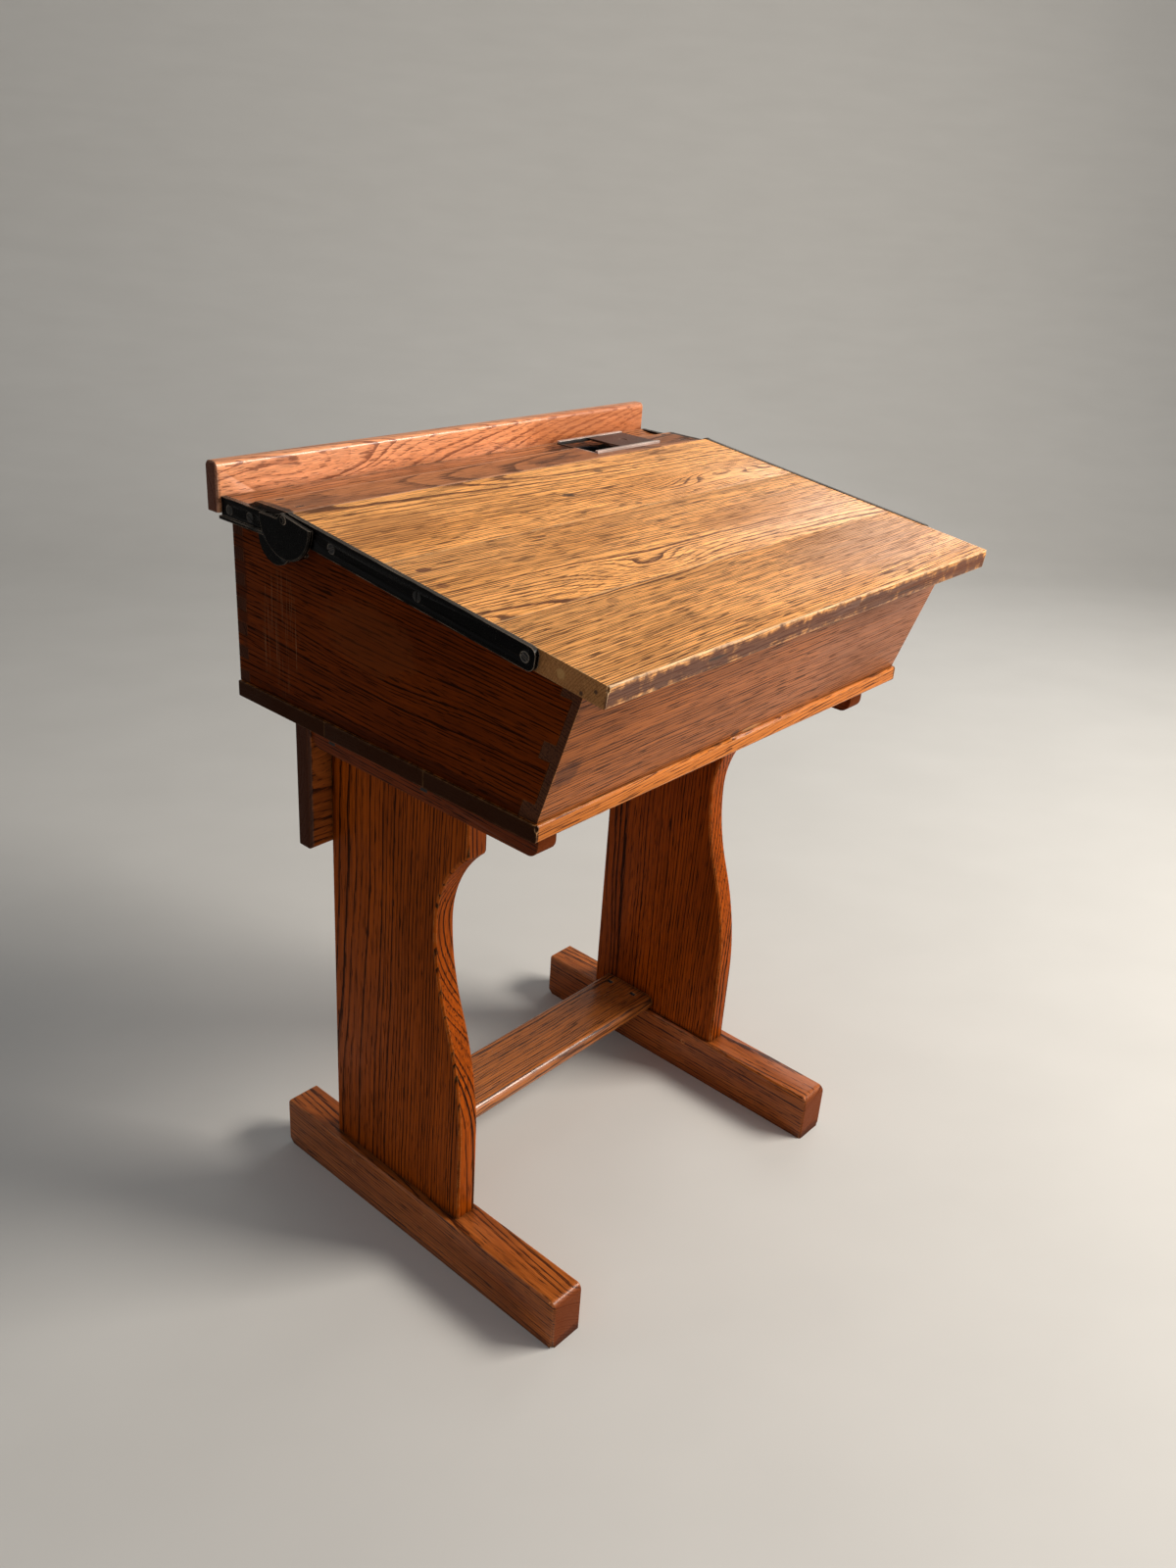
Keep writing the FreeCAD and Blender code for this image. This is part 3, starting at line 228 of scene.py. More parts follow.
class Oak:
    """How one lot of oak was stained, and what years of use did to it.

    Six hex colours: the wood between the rows of pores, the rows, the pores, the patches that took
    more stain, the rubbed arrises and the sawn ends. Then the share of varnish left, its roughness,
    how dark the rows, pores and heart lines are, the contrast of the fibres, how strongly the bare
    wood shines, how far its arrises are rubbed, and how much wider its pores have opened."""

    def __init__(self, early, late, pore, patch, arris_wear_and_highlight, end, coat, gloss=0.34, figure=0.6, pores=1.0,
                 heart=0.0, streaks=0.24, shine=0.3, wear=0.85, open_grain=0.0):
        self.early = early
        self.late = late
        self.pore = pore
        self.patch = patch
        self.arris_wear_and_highlight = arris_wear_and_highlight
        self.end = end
        self.coat = coat
        self.gloss = gloss
        self.figure = figure
        self.pores = pores
        self.heart = heart
        self.streaks = streaks
        self.shine = shine
        self.wear = wear
        self.open_grain = open_grain


# Golden oak under a worn varnish: light, with brown rows of open pores.
LID_OAK = Oak("#FFB264", "#8E4A1A", "#3E1C06", "#D48C42", "#FAD29C", "#8A5A2E", coat=0.1,
              gloss=0.36, figure=0.78, streaks=0.62, open_grain=0.045)
# The gallery is redder, with dark flames and a high gloss.
GALLERY_OAK = Oak("#EEA070", "#A04E26", "#5A260E", "#D88650", "#FAD0B0", "#4A1E0C", coat=0.3,
                  gloss=0.26, figure=0.55, shine=0.25, pores=0.8, streaks=0.36, open_grain=0.02)
# The shelf is darker where hands and ink have soiled it.
SHELF_OAK = Oak("#B87444", "#70401F", "#321608", "#94562F", "#E0A882", "#7A4626", coat=0.12,
                shine=0.25, streaks=0.45)
# The box's back faces a wall: a deep reddish brown that no hand has rubbed.
BACK_OAK = Oak("#85421A", "#632C0E", "#2A1104", "#6E3412", "#A66534", "#2A1004", coat=0.1,
               shine=0.12, wear=0.4)
# The front board has lost some of its stain to hands, so its open rows stand out on lighter wood.
FRONT_OAK = Oak("#AA5E24", "#64300C", "#321404", "#8C4C1A", "#DCA060", "#2E1204", coat=0.08,
                gloss=0.36, figure=0.75, streaks=0.5, shine=0.2, wear=0.5, open_grain=0.02)
# The sides have kept the darkest stain, and have no varnish left to shine.
SIDE_OAK = Oak("#6A2A02", "#3A1301", "#160600", "#541E02", "#9A5828", "#2A0F03", coat=0.0,
               gloss=0.42, figure=0.8, streaks=0.4, shine=0.02, wear=0.3)
# The bottom's projecting edge is rubbed to an orange brown; its pale arris is also a painted
# highlight.
BOTTOM_OAK = Oak("#C8742E", "#864010", "#481D06", "#A85C20", "#E6AA70", "#241003", coat=0.15,
                 gloss=0.3, shine=0.06)
# The legs have dark lines down a smooth red-brown ground, and look dry.
LEG_OAK = Oak("#9A4404", "#4E1C01", "#180700", "#7C3402", "#DA9654", "#4A2008", coat=0.0,
              figure=0.9, heart=0.9, streaks=0.36, shine=0.05)
# The feet and the rear rail have kept their varnish: a brown that shines softly.
FOOT_OAK = Oak("#AA5C26", "#542004", "#240C02", "#78340A", "#D08848", "#642C0E", coat=0.25,
               gloss=0.26, figure=0.7, shine=0.12, streaks=0.34)
# The bearers never see daylight, so they stayed as dark as the box.
BEARER_OAK = Oak("#743006", "#421602", "#1C0802", "#5C2404", "#9A5828", "#6A3010", coat=0.1,
                 gloss=0.38, figure=0.75, shine=0.06, streaks=0.3, wear=0.4)
# The stretcher is polished by shoes, and is the glossiest wood of the stand.
STRETCHER_OAK = Oak("#AC642C", "#582A0A", "#2A1103", "#884A18", "#E0A468", "#40200C", coat=0.35,
                    gloss=0.24, figure=0.8, streaks=0.36, open_grain=0.02)


def grain_places(tree, place, grain, pith, tilt):
    """Places with X along the pith: as if the stem were straight, and as it grew, swaying."""
    centred = add(tree, "VectorMath", {0: place, 1: pith}, operation="SUBTRACT").outputs[0]
    along = add(tree, "Mapping", {"Vector": centred, "Rotation": GRAIN_TURN[grain]}).outputs[0]
    straight = add(tree, "Mapping", {"Vector": along, "Rotation": (0.0, *tilt)}).outputs[0]
    waves = add(tree, "Mapping", {"Vector": straight, "Scale": SWAY_WAVES}).outputs[0]
    sway = add(tree, "TexNoise", {"Vector": waves, "Scale": 1.0, "Detail": 3.0}).outputs["Color"]
    sway = add(tree, "VectorMath", {0: sway, 1: (0.5, 0.5, 0.5)}, operation="SUBTRACT").outputs[0]
    sway = add(tree, "VectorMath", {0: sway, 1: (0.0, STEM_SWAY, STEM_SWAY)},
               operation="MULTIPLY").outputs[0]
    grown = add(tree, "VectorMath", {0: straight, 1: sway}, operation="ADD").outputs[0]
    return straight, grown


def count_years(tree, place, grown, ring, eye):
    """The count of years from the pith outward; an eye is a swelling that closes rings round it."""
    flat = add(tree, "VectorMath", {0: grown, 1: (0.0, 1.0, 1.0)}, operation="MULTIPLY").outputs[0]
    reach = add(tree, "VectorMath", {0: flat}, operation="LENGTH").outputs["Value"]
    if eye:
        middle, size, swell = eye
        away = steps_away(tree, place, middle, size)
        square = add(tree, "Math", {0: away, 1: away}, operation="MULTIPLY").outputs[0]
        fall = add(tree, "Math", {0: square, 1: -1.0}, operation="MULTIPLY").outputs[0]
        bell = add(tree, "Math", {0: fall}, operation="EXPONENT").outputs[0]
        reach = add(tree, "Math", {0: bell, 1: swell, 2: reach}, operation="MULTIPLY_ADD").outputs[0]
    return add(tree, "Math", {0: reach, 1: 1 / ring}, operation="MULTIPLY").outputs[0]


def pore_rows(tree, years):
    """Where a spring's row of pores lies: full as the year starts, then thinning out."""
    year = add(tree, "TexNoise", {"W": years, "Scale": YEAR_NOISE, "Detail": 2.0},
               noise_dimensions="1D").outputs["Fac"]
    uneven = add(tree, "Math", {0: year, 1: YEAR_SHIFT, 2: years}, operation="MULTIPLY_ADD").outputs[0]
    season = add(tree, "Math", {0: uneven}, operation="FRACT").outputs[0]
    fading = add(tree, "MapRange", {0: season, 1: ROW_THINS, 2: ROW_ENDS, 3: 1.0, 4: 0.0}).outputs[0]
    waking = add(tree, "MapRange", {0: season, 1: ROW_STARTS, 2: ROW_FULL}).outputs[0]
    row = add(tree, "Math", {0: fading, 1: waking}, operation="MAXIMUM").outputs[0]
    strength = add(tree, "MapRange", {0: year, 1: POOR_YEAR, 2: GOOD_YEAR, 3: WEAK_ROW, 4: 1.0})
    return add(tree, "Math", {0: row, 1: strength.outputs[0]}, operation="MULTIPLY").outputs[0]


def cut_pores(tree, grown, row, open_grain):
    """The pores that the saw cut open: short dashes along the grain, most of them in the rows."""
    dashes = add(tree, "Mapping", {
        "Vector": grown, "Scale": (1 / PORE_LENGTH, 1 / PORE_WIDTH, 1 / PORE_WIDTH)}).outputs[0]
    dash = add(tree, "TexNoise", {"Vector": dashes, "Scale": 1.0, "Detail": 1.0,
                                  "Roughness": 0.4}).outputs["Fac"]
    chance = add(tree, "Math", {0: row, 1: ROW_CHANCE, 2: dash}, operation="MULTIPLY_ADD").outputs[0]
    return add(tree, "MapRange", {0: chance, 1: PORE_RIM - open_grain, 2: PORE_DEEP - open_grain},
               interpolation_type="SMOOTHSTEP").outputs[0]


def stained_wood(tree, look, years, row, pore, fibre, cloud):
    """The colour of a planed face before anyone used the desk."""
    patchy = add(tree, "MapRange", {0: cloud, 1: PATCH_RIM, 2: PATCH_DEEP, 3: 0.0,
                                    4: PATCH_SHARE}).outputs[0]
    wood = add(tree, "Mix", {0: patchy, 6: colour(look.early), 7: colour(look.patch)},
               data_type="RGBA").outputs[2]
    streak = add(tree, "MapRange", {0: fibre, 1: NOISE_LOW, 2: NOISE_HIGH, 3: 1 + look.streaks,
                                    4: 1 - look.streaks}).outputs[0]
    wood = add(tree, "VectorMath", {0: wood, 3: streak}, operation="SCALE").outputs[0]
    band = add(tree, "Math", {0: row, 1: look.figure}, operation="MULTIPLY").outputs[0]
    wood = add(tree, "Mix", {0: band, 6: wood, 7: colour(look.late)}, data_type="RGBA").outputs[2]
    dark = add(tree, "Math", {0: pore, 1: PORE_DARK * look.pores}, operation="MULTIPLY").outputs[0]
    wood = add(tree, "Mix", {0: dark, 6: wood, 7: colour(look.pore)}, data_type="RGBA").outputs[2]
    if look.heart:
        decade = add(tree, "TexNoise", {"W": years, "Scale": HEART_NOISE, "Detail": 0.0},
                     noise_dimensions="1D").outputs["Fac"]
        chosen = add(tree, "MapRange", {0: decade, 1: HEART_RIM, 2: HEART_DEEP, 3: 0.0,
                                        4: look.heart}).outputs[0]
        heart = add(tree, "Math", {0: chosen, 1: row}, operation="MULTIPLY").outputs[0]
        wood = add(tree, "Mix", {0: heart, 6: wood, 7: colour(look.pore)},
                   data_type="RGBA").outputs[2]
    return wood


def scratch(tree, under, place, wobble, scratches):
    """Fine lines inside one spot: a hex colour, a middle, half sizes and lines per metre."""
    code, middle, size, fineness = scratches
    lines = add(tree, "Mapping", {"Vector": place, "Rotation": (SCRATCH_LEAN, 0.0, 0.0),
                                  "Scale": fineness}).outputs[0]
    line = add(tree, "TexNoise", {"Vector": lines, "Scale": 1.0, "Detail": 1.0}).outputs["Fac"]
    line = add(tree, "MapRange", {0: line, 1: SCRATCH_RIM, 2: SCRATCH_DEEP, 3: 0.0,
                                  4: SCRATCH_SHARE}).outputs[0]
    mask = spot(tree, place, wobble, middle, size)
    mask = add(tree, "Math", {0: mask, 1: line}, operation="MULTIPLY").outputs[0]
    return add(tree, "Mix", {0: mask, 6: under, 7: colour(code)}, data_type="RGBA").outputs[2]


def wear_dirt_and_corner_shade(tree, wood, look, end, wobble):
    """Hands and sleeves rub the arrises of side grain pale, and dirt and painted shade darken where
    boards meet.
    """
    arris = arris_mask(tree, RUB_RADIUS, RUB_FLAT, RUB_FULL)
    rub = add(tree, "MapRange", {0: wobble, 1: RUB_LOW, 2: RUB_HIGH, 3: RUB_LEAST * look.wear,
                                 4: look.wear}).outputs[0]
    side_grain = add(tree, "Math", {0: 1.0, 1: end}, operation="SUBTRACT").outputs[0]
    rub = add(tree, "Math", {0: rub, 1: side_grain}, operation="MULTIPLY").outputs[0]
    pale_arris_share = add(tree, "Math", {0: arris, 1: rub}, operation="MULTIPLY").outputs[0]
    wood = add(tree, "Mix", {0: pale_arris_share, 6: wood, 7: colour(look.arris_wear_and_highlight)}, data_type="RGBA").outputs[2]
    # Painted shade: wood that nearby surfaces close in is darkened, as dirt and as the shade there.
    open_sky = add(tree, "AmbientOcclusion", {"Distance": CORNER_SHADE_REACH}, samples=6).outputs["AO"]
    unshaded_share = add(tree, "MapRange", {0: open_sky, 1: CORNER_SHADE_FULL, 2: CORNER_SHADE_NONE, 3: 1 - CORNER_DIRT_AND_SHADE,
                                   4: 1.0}).outputs[0]
    return add(tree, "VectorMath", {0: wood, 3: unshaded_share}, operation="SCALE").outputs[0]


def oak(name, look, grain, pith, tilt, ring, eye=None, marks=(), scratches=None):
    """Sawn and varnished oak. The rings are cylinders round a pith beside the board, at a slight
    tilt to it, so a face cuts them in long flames. Each spring's wood is a row of open pores,
    which stain and dirt turn dark; the summer wood between them stays smooth and lighter.

    The tilt is two angles in radians, and the ring is a year's growth. An eye closes the rings
    round one place: its middle, its half sizes and how far it swells them."""
    material, tree = new_material(name)
    coords = add(tree, "TexCoord")
    place = coords.outputs["Object"]
    straight, grown = grain_places(tree, place, grain, pith, tilt)
    years = count_years(tree, place, grown, ring, eye)
    row = pore_rows(tree, years)
    pore = cut_pores(tree, grown, row, look.open_grain)
    fibres = add(tree, "Mapping", {
        "Vector": grown, "Scale": (1 / FIBRE_LENGTH, 1 / FIBRE_WIDTH, 1 / FIBRE_WIDTH)}).outputs[0]
    fibre = add(tree, "TexNoise", {"Vector": fibres, "Scale": 1.0, "Detail": 4.0,
                                   "Roughness": 0.72}).outputs["Fac"]
    clouds = add(tree, "Mapping", {"Vector": straight, "Scale": PATCH_WAVES}).outputs[0]
    cloud = add(tree, "TexNoise", {"Vector": clouds, "Scale": 1.0, "Detail": 4.0}).outputs["Fac"]
    wood = stained_wood(tree, look, years, row, pore, fibre, cloud)

    lie = add(tree, "VectorMath", {0: coords.outputs["Normal"], 1: GRAIN_AXIS[grain]},
              operation="DOT_PRODUCT").outputs["Value"]
    lie = add(tree, "Math", {0: lie}, operation="ABSOLUTE").outputs[0]
    end = add(tree, "MapRange", {0: lie, 1: END_STARTS, 2: END_FULL, 3: 0.0, 4: END_SHARE}).outputs[0]
    wood = add(tree, "Mix", {0: end, 6: wood, 7: colour(look.end)}, data_type="RGBA").outputs[2]

    wobble = add(tree, "TexNoise", {"Vector": place, "Scale": 1 / MARK_RAGGED, "Detail": 3.0,
                                    "Roughness": 0.6}).outputs["Fac"]
    wood = lay_marks(tree, wood, place, wobble, marks)
    if scratches:
        wood = scratch(tree, wood, place, wobble, scratches)
    wood = wear_dirt_and_corner_shade(tree, wood, look, end, wobble)

    dull = add(tree, "MapRange", {0: cloud, 1: NOISE_LOW, 2: NOISE_HIGH, 3: look.gloss,
                                  4: look.gloss + DULL_SPREAD}).outputs[0]
    dull = add(tree, "Math", {0: pore, 1: PORE_DULL, 2: dull}, operation="MULTIPLY_ADD").outputs[0]
    # Sawn ends drink the varnish and lose their gloss.
    dull = add(tree, "Math", {0: end, 1: END_DULL, 2: dull}, operation="MULTIPLY_ADD").outputs[0]
    coat = add(tree, "MapRange", {0: end, 1: 0.0, 2: END_BARE, 3: look.coat, 4: 0.0}).outputs[0]
    depth = add(tree, "Math", {0: fibre, 1: FIBRE_DEPTH}, operation="MULTIPLY").outputs[0]
    height = add(tree, "Math", {0: depth, 1: pore}, operation="SUBTRACT").outputs[0]
    bump = add(tree, "Bump", {"Strength": GRAIN_STRENGTH, "Distance": GRAIN_DEPTH,
                              "Height": height}).outputs[0]
    surface = add(tree, "BsdfPrincipled", {
        "Base Color": wood, "Roughness": dull, "Normal": bump, "Specular IOR Level": look.shine,
        "Coat Weight": coat, "Coat Roughness": look.gloss * COAT_POLISH, "Coat IOR": VARNISH_IOR})
    add(tree, "OutputMaterial", {"Surface": surface.outputs[0]})
    return material


# ---------------------------------------------------------------- iron, steel, brass, glaze

# Pale household dust and a painted sheen, laid on what faces up.
DUST_AND_SHEEN = "#6A625A"
DUST_AND_SHEEN_STARTS = 0.5
DUST_AND_SHEEN_FULL = 0.95
# The finish varies in broad patches, by so much in tone and in roughness.
FINISH_PATCH = 22 * MM
TONE_LOW = 0.8
TONE_HIGH = 1.2
SMOOTHER = 0.08
ROUGHER = 0.1
# Arrises are painted pale: rubbed wear, and on the iron and the rails a painted highlight.
METAL_RUB_GLINT_RADIUS = 1.4 * MM
METAL_RUB_GLINT_FLAT = 0.99
METAL_RUB_GLINT_FULL = 0.8
SKIN_DEPTH = 0.2 * MM
SKIN_STRENGTH = 0.25


def metal(name, base, arris_wear_and_highlight, roughness, metallic, grit, shine=0.5, rub_and_glint=(0.4, 0.65), marks=(),
          dust_and_sheen=0.0):
    """A hard skin over metal or clay, mottled, painted pale along its arrises as wear and as a painted
    highlight, and paler on top as dust and as a painted sheen.

    Grit is the size of its grain. Rub and glint is where the noise of the pale arris starts and
    where the arris is fully pale; the lower the two are, the more of it shows."""
    material, tree = new_material(name)
    coords = add(tree, "TexCoord")
    place = coords.outputs["Object"]
    skin = add(tree, "TexNoise", {"Vector": place, "Scale": 1 / grit, "Detail": 4.0}).outputs["Fac"]
    broad = add(tree, "TexNoise", {"Vector": place, "Scale": 1 / FINISH_PATCH,
                                   "Detail": 3.0}).outputs["Fac"]
    # Painted highlight: the arris mask lays the pale arris colour, which is also rubbed wear.
    arris = arris_mask(tree, METAL_RUB_GLINT_RADIUS, METAL_RUB_GLINT_FLAT, METAL_RUB_GLINT_FULL)
    rub = add(tree, "MapRange", {0: broad, 1: rub_and_glint[0], 2: rub_and_glint[1]}).outputs[0]
    pale_arris_share = add(tree, "Math", {0: arris, 1: rub}, operation="MULTIPLY").outputs[0]
    tone = add(tree, "Mix", {0: pale_arris_share, 6: colour(base), 7: colour(arris_wear_and_highlight)}, data_type="RGBA").outputs[2]
    shade = add(tree, "MapRange", {0: broad, 1: NOISE_LOW, 2: NOISE_HIGH, 3: TONE_LOW,
                                   4: TONE_HIGH}).outputs[0]
    tone = add(tree, "VectorMath", {0: tone, 3: shade}, operation="SCALE").outputs[0]
    tone = lay_marks(tree, tone, place, broad, marks)
    # Painted sheen: faces that look up are painted paler, which also stands for dust.
    up = add(tree, "VectorMath", {0: coords.outputs["Normal"], 1: (0.0, 0.0, 1.0)},
             operation="DOT_PRODUCT").outputs["Value"]
    dust_and_sheen_share = add(tree, "MapRange", {0: up, 1: DUST_AND_SHEEN_STARTS, 2: DUST_AND_SHEEN_FULL, 3: 0.0, 4: dust_and_sheen}).outputs[0]
    tone = add(tree, "Mix", {0: dust_and_sheen_share, 6: tone, 7: colour(DUST_AND_SHEEN)}, data_type="RGBA").outputs[2]
    rough = add(tree, "MapRange", {0: skin, 1: NOISE_LOW, 2: NOISE_HIGH, 3: roughness - SMOOTHER,
                                   4: roughness + ROUGHER}).outputs[0]
    bump = add(tree, "Bump", {"Strength": SKIN_STRENGTH, "Distance": SKIN_DEPTH,
                              "Height": skin}).outputs[0]
    surface = add(tree, "BsdfPrincipled", {
        "Base Color": tone, "Roughness": rough, "Metallic": metallic, "Normal": bump,
        "Specular IOR Level": shine})
    add(tree, "OutputMaterial", {"Surface": surface.outputs[0]})
    return material


# Grey iron, cast in sand and japanned black: a smooth skin, its arrises painted grey as rubbed wear
# and as a painted highlight, and its top faces painted paler as dust and as a painted sheen.
iron = metal("black_japanned_iron", "#030202", "#9A8876", 0.26, 0.0, 1.4 * MM, shine=0.05,
             rub_and_glint=(0.36, 0.56), dust_and_sheen=0.35)
# Mild steel screws, japanned with the iron and rubbed on their heads.
steel = metal("dulled_steel", "#141110", "#7A7066", 0.42, 0.5, 0.8 * MM)
# Cut nails, blued by heat and rusted dark.
nail_iron = metal("blackened_nail_iron", "#140F0D", "#33261E", 0.6, 0.3, 0.7 * MM)
# Folded brass, painted near white all along the rails as rubbed wear and as a painted highlight,
# and painted black round the mouth as old ink and as painted shade; the mouth's middle and half
# sizes are in metres.
MOUTH_INK_AND_SHADE = ("#0A0706", 0.96, (0.147, 0.190, 0.7798), (0.060, 0.030, 0.0046))
# Painted highlight: the pale base and near-white arrises stand for the glints on the rails.
rails = metal("rails_rubbed_and_highlit", "#BCA69C", "#FFF4EC", 0.3, 0.2, 0.6 * MM, rub_and_glint=(0.0, 0.2),
              marks=[MOUTH_INK_AND_SHADE])
# A brass cover, bronzed brown and dull with old ink.
bronze = metal("bronzed_brass", "#5A3E34", "#9A7864", 0.5, 0.4, 1.4 * MM)
# Salt-glazed stoneware: dark, its shine dulled by a crust of ink.
glaze = metal("dark_glazed_stoneware", "#030507", "#18202C", 0.4, 0.0, 2.0 * MM, shine=0.15)


# ---------------------------------------------------------------- worn copies of the pieces

# Points of neighbouring facets nearer than this are one point.
WELD = 0.002 * MM
# Facets that turn by less than this are one flat face.
FLAT = math.radians(0.6)
# An edge that turns by more than this, and is long enough, is an arris to ease.
ARRIS_TURN = math.radians(24)
ARRIS_LEAST = 4
EASE_SEGMENTS = 3
# Shading is smooth across an edge that turns by less than this.
CREASE = math.radians(28)
# Edges and gaps shorter than this are slivers, which easing and cutting leave.
SLIVER = 0.01 * MM
# A knocked-out chip: how rough its outline is, and how fine.
CHIP_ROUGH = 0.35
CHIP_NOISE = 1.7
CHIP_SPREAD = 40


def new_object(name, data):
    """Put a mesh, a lamp or a lens into the scene."""
    made = bpy.data.objects.new(name, data)
    bpy.context.scene.collection.objects.link(made)
    return made


def save_mesh(shape, mesh):
    """Write an edited shape back to its mesh."""
    shape.to_mesh(mesh)
    shape.free()


def shade_smooth(mesh):
    """Shade a mesh smooth between its creases."""
    for face in mesh.polygons:
        face.use_smooth = True
    mesh.set_sharp_from_angle(angle=CREASE)


def outer_copy(node):
    """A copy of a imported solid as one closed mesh, with flat faces joined up again."""
    mesh = nodes[node].data.copy()
    mesh.materials.clear()
    shape = bmesh.new()
    shape.from_mesh(mesh)
    bmesh.ops.remove_doubles(shape, verts=shape.verts, dist=WELD)
    bmesh.ops.dissolve_limit(shape, angle_limit=FLAT, verts=shape.verts, edges=shape.edges)
    save_mesh(shape, mesh)
    return new_object(node + "_worn", mesh)


def drop_slivers(shape):
    """Join points that almost meet, and take out the ones that lie along an edge of two faces only."""
    bmesh.ops.remove_doubles(shape, verts=shape.verts, dist=SLIVER)
    bmesh.ops.dissolve_degenerate(shape, dist=SLIVER, edges=shape.edges)
    spare = [vert for vert in shape.verts if len(vert.link_edges) == 2]
    bmesh.ops.dissolve_verts(shape, verts=spare)


def ease_edges(piece, radius):
    """Round the sharp outer edges of a piece."""
    shape = bmesh.new()
    shape.from_mesh(piece.data)
    sharp = [edge for edge in shape.edges
             if len(edge.link_faces) == 2 and edge.calc_face_angle(0.0) > ARRIS_TURN
             and edge.is_convex and edge.calc_length() > ARRIS_LEAST * radius]
    bmesh.ops.bevel(shape, geom=sharp, offset=radius, segments=EASE_SEGMENTS, profile=0.5,
                    affect="EDGES", clamp_overlap=True)
    drop_slivers(shape)
    save_mesh(shape, piece.data)
    shade_smooth(piece.data)


def cut_out(piece, cutters):
    """Take small shapes out of a piece, and leave it one closed mesh."""
    for cutter in cutters:
        bite = piece.modifiers.new("bite", "BOOLEAN")
        bite.operation = "DIFFERENCE"
        bite.solver = "EXACT"
        bite.object = cutter
    bitten = piece.evaluated_get(bpy.context.evaluated_depsgraph_get())
    mesh = bpy.data.meshes.new_from_object(bitten)
    piece.modifiers.clear()
    piece.data = mesh
    shape = bmesh.new()
    shape.from_mesh(mesh)
    drop_slivers(shape)
    save_mesh(shape, mesh)
    shade_smooth(mesh)
    for cutter in cutters:
        bpy.data.objects.remove(cutter)


def chip_shape(place, size, turn):
    """A rough pebble: what a knock takes out of an arris. It has half sizes and a turn round X."""
    shape = bmesh.new()
    bmesh.ops.create_icosphere(shape, subdivisions=2, radius=1.0)
    for vert in shape.verts:
        vert.co *= 1.0 + CHIP_ROUGH * noise.noise(vert.co * CHIP_NOISE + place * CHIP_SPREAD)
        vert.co = Vector((vert.co.x * size[0], vert.co.y * size[1], vert.co.z * size[2]))
    mesh = bpy.data.meshes.new("chip")
    save_mesh(shape, mesh)
    piece = new_object("chip", mesh)
    piece.matrix_world = Matrix.Translation(place) @ Matrix.Rotation(turn, 4, "X")
    return piece


def islands(piece):
    """The separate solids of one mesh, each as a low and a high corner, in order of place."""
    shape = bmesh.new()
    shape.from_mesh(piece.data)
    left = set(shape.verts)
    found = []
    while left:
        edge = [left.pop()]
        corners = [vert.co.copy() for vert in edge]
        while edge:
            for link in edge.pop().link_edges:
                for vert in link.verts:
                    if vert in left:
                        left.remove(vert)
                        edge.append(vert)
                        corners.append(vert.co.copy())
        low = Vector([min(co[axis] for co in corners) for axis in range(3)])
        high = Vector([max(co[axis] for co in corners) for axis in range(3)])
        found.append((low, high))
    shape.free()
    return sorted(found, key=lambda pair: tuple(round(value, 5) for value in pair[0]))


def body_of(node):
    """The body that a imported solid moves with."""
    return nodes[node]["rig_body"]


def dress_board(node, material, radius, chips=()):
    """Show a wooden solid with eased edges, its own oak, and its place in the motion."""
    piece = outer_copy(node)
    ease_edges(piece, radius)
    piece.data.materials.append(material)
    if chips:
        cut_out(piece, [chip_shape(*chip) for chip in chips])
    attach(piece, body_of(node))
    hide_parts(node)


def paint(node, material):
    """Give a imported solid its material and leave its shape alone."""
    data = nodes[node].data
    if not data.materials:
        data.materials.append(material)
    for number in range(len(data.materials)):
        data.materials[number] = material


# ---------------------------------------------------------------- the desk, piece by piece

# How far use has rounded the arrises of each piece.
LID_ARRIS = 0.9 * MM
SHELF_ARRIS = 0.6 * MM
GALLERY_ARRIS = 1.4 * MM
BOX_ARRIS = 0.5 * MM
BOTTOM_ARRIS = 1.2 * MM
PANEL_ARRIS = 0.9 * MM
FOOT_ARRIS = 2.2 * MM
RAIL_ARRIS = 0.8 * MM
IRON_ARRIS = 0.5 * MM

# A year's growth. The lid's stems grew slowly, the stand's fast.
LID_RING = 2.2 * MM
SHELF_RING = 2.6 * MM
GALLERY_RING = 3.0 * MM
SIDE_RING = 3.4 * MM
FRONT_RING = 3.2 * MM
BACK_RING = 3.6 * MM
BOTTOM_RING = 3.0 * MM
LEG_RING = 3.5 * MM
FOOT_RING = 3.4 * MM
BEARER_RING = 3.2 * MM
STRETCHER_RING = 3.0 * MM

# The lid turns on the line through this point; its top face slopes, and lies a little above it.
LID_HINGE = next(joint for joint in frame["record"]["behaviour"]["joints"]
                 if joint["name"] == "lid_hinge")
PIVOT = Vector(LID_HINGE["pos_m"])
LID_SLOPE = math.radians(7.0)
LID_TOP = 5 * MM

SIDES = (("left", -1), ("right", 1))
# How far the outer face of each side of the box lies from the middle, in millimetres.
SIDE_FACE = 277.0

INK = "#2A1A12"
KNOT = "#5A2414"
RUBBED = "#F0C898"
EDGE_DIRT = "#4E220C"


def middle_of(node):
    """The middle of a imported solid's box."""
    low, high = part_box(node)
    return (low + high) / 2


def at(x, y, z):
    """A place, or a size, from millimetres."""
    return Vector((x, y, z)) * MM


def on_lid(across, down, above=0.0):
    """A place on the closed lid: millimetres across, down the slope and above its top face."""
    rise = above * MM + LID_TOP
    return Vector((across * MM, PIVOT.y - down * MM * math.cos(LID_SLOPE) - rise * math.sin(LID_SLOPE),
                   PIVOT.z - down * MM * math.sin(LID_SLOPE) + rise * math.cos(LID_SLOPE)))


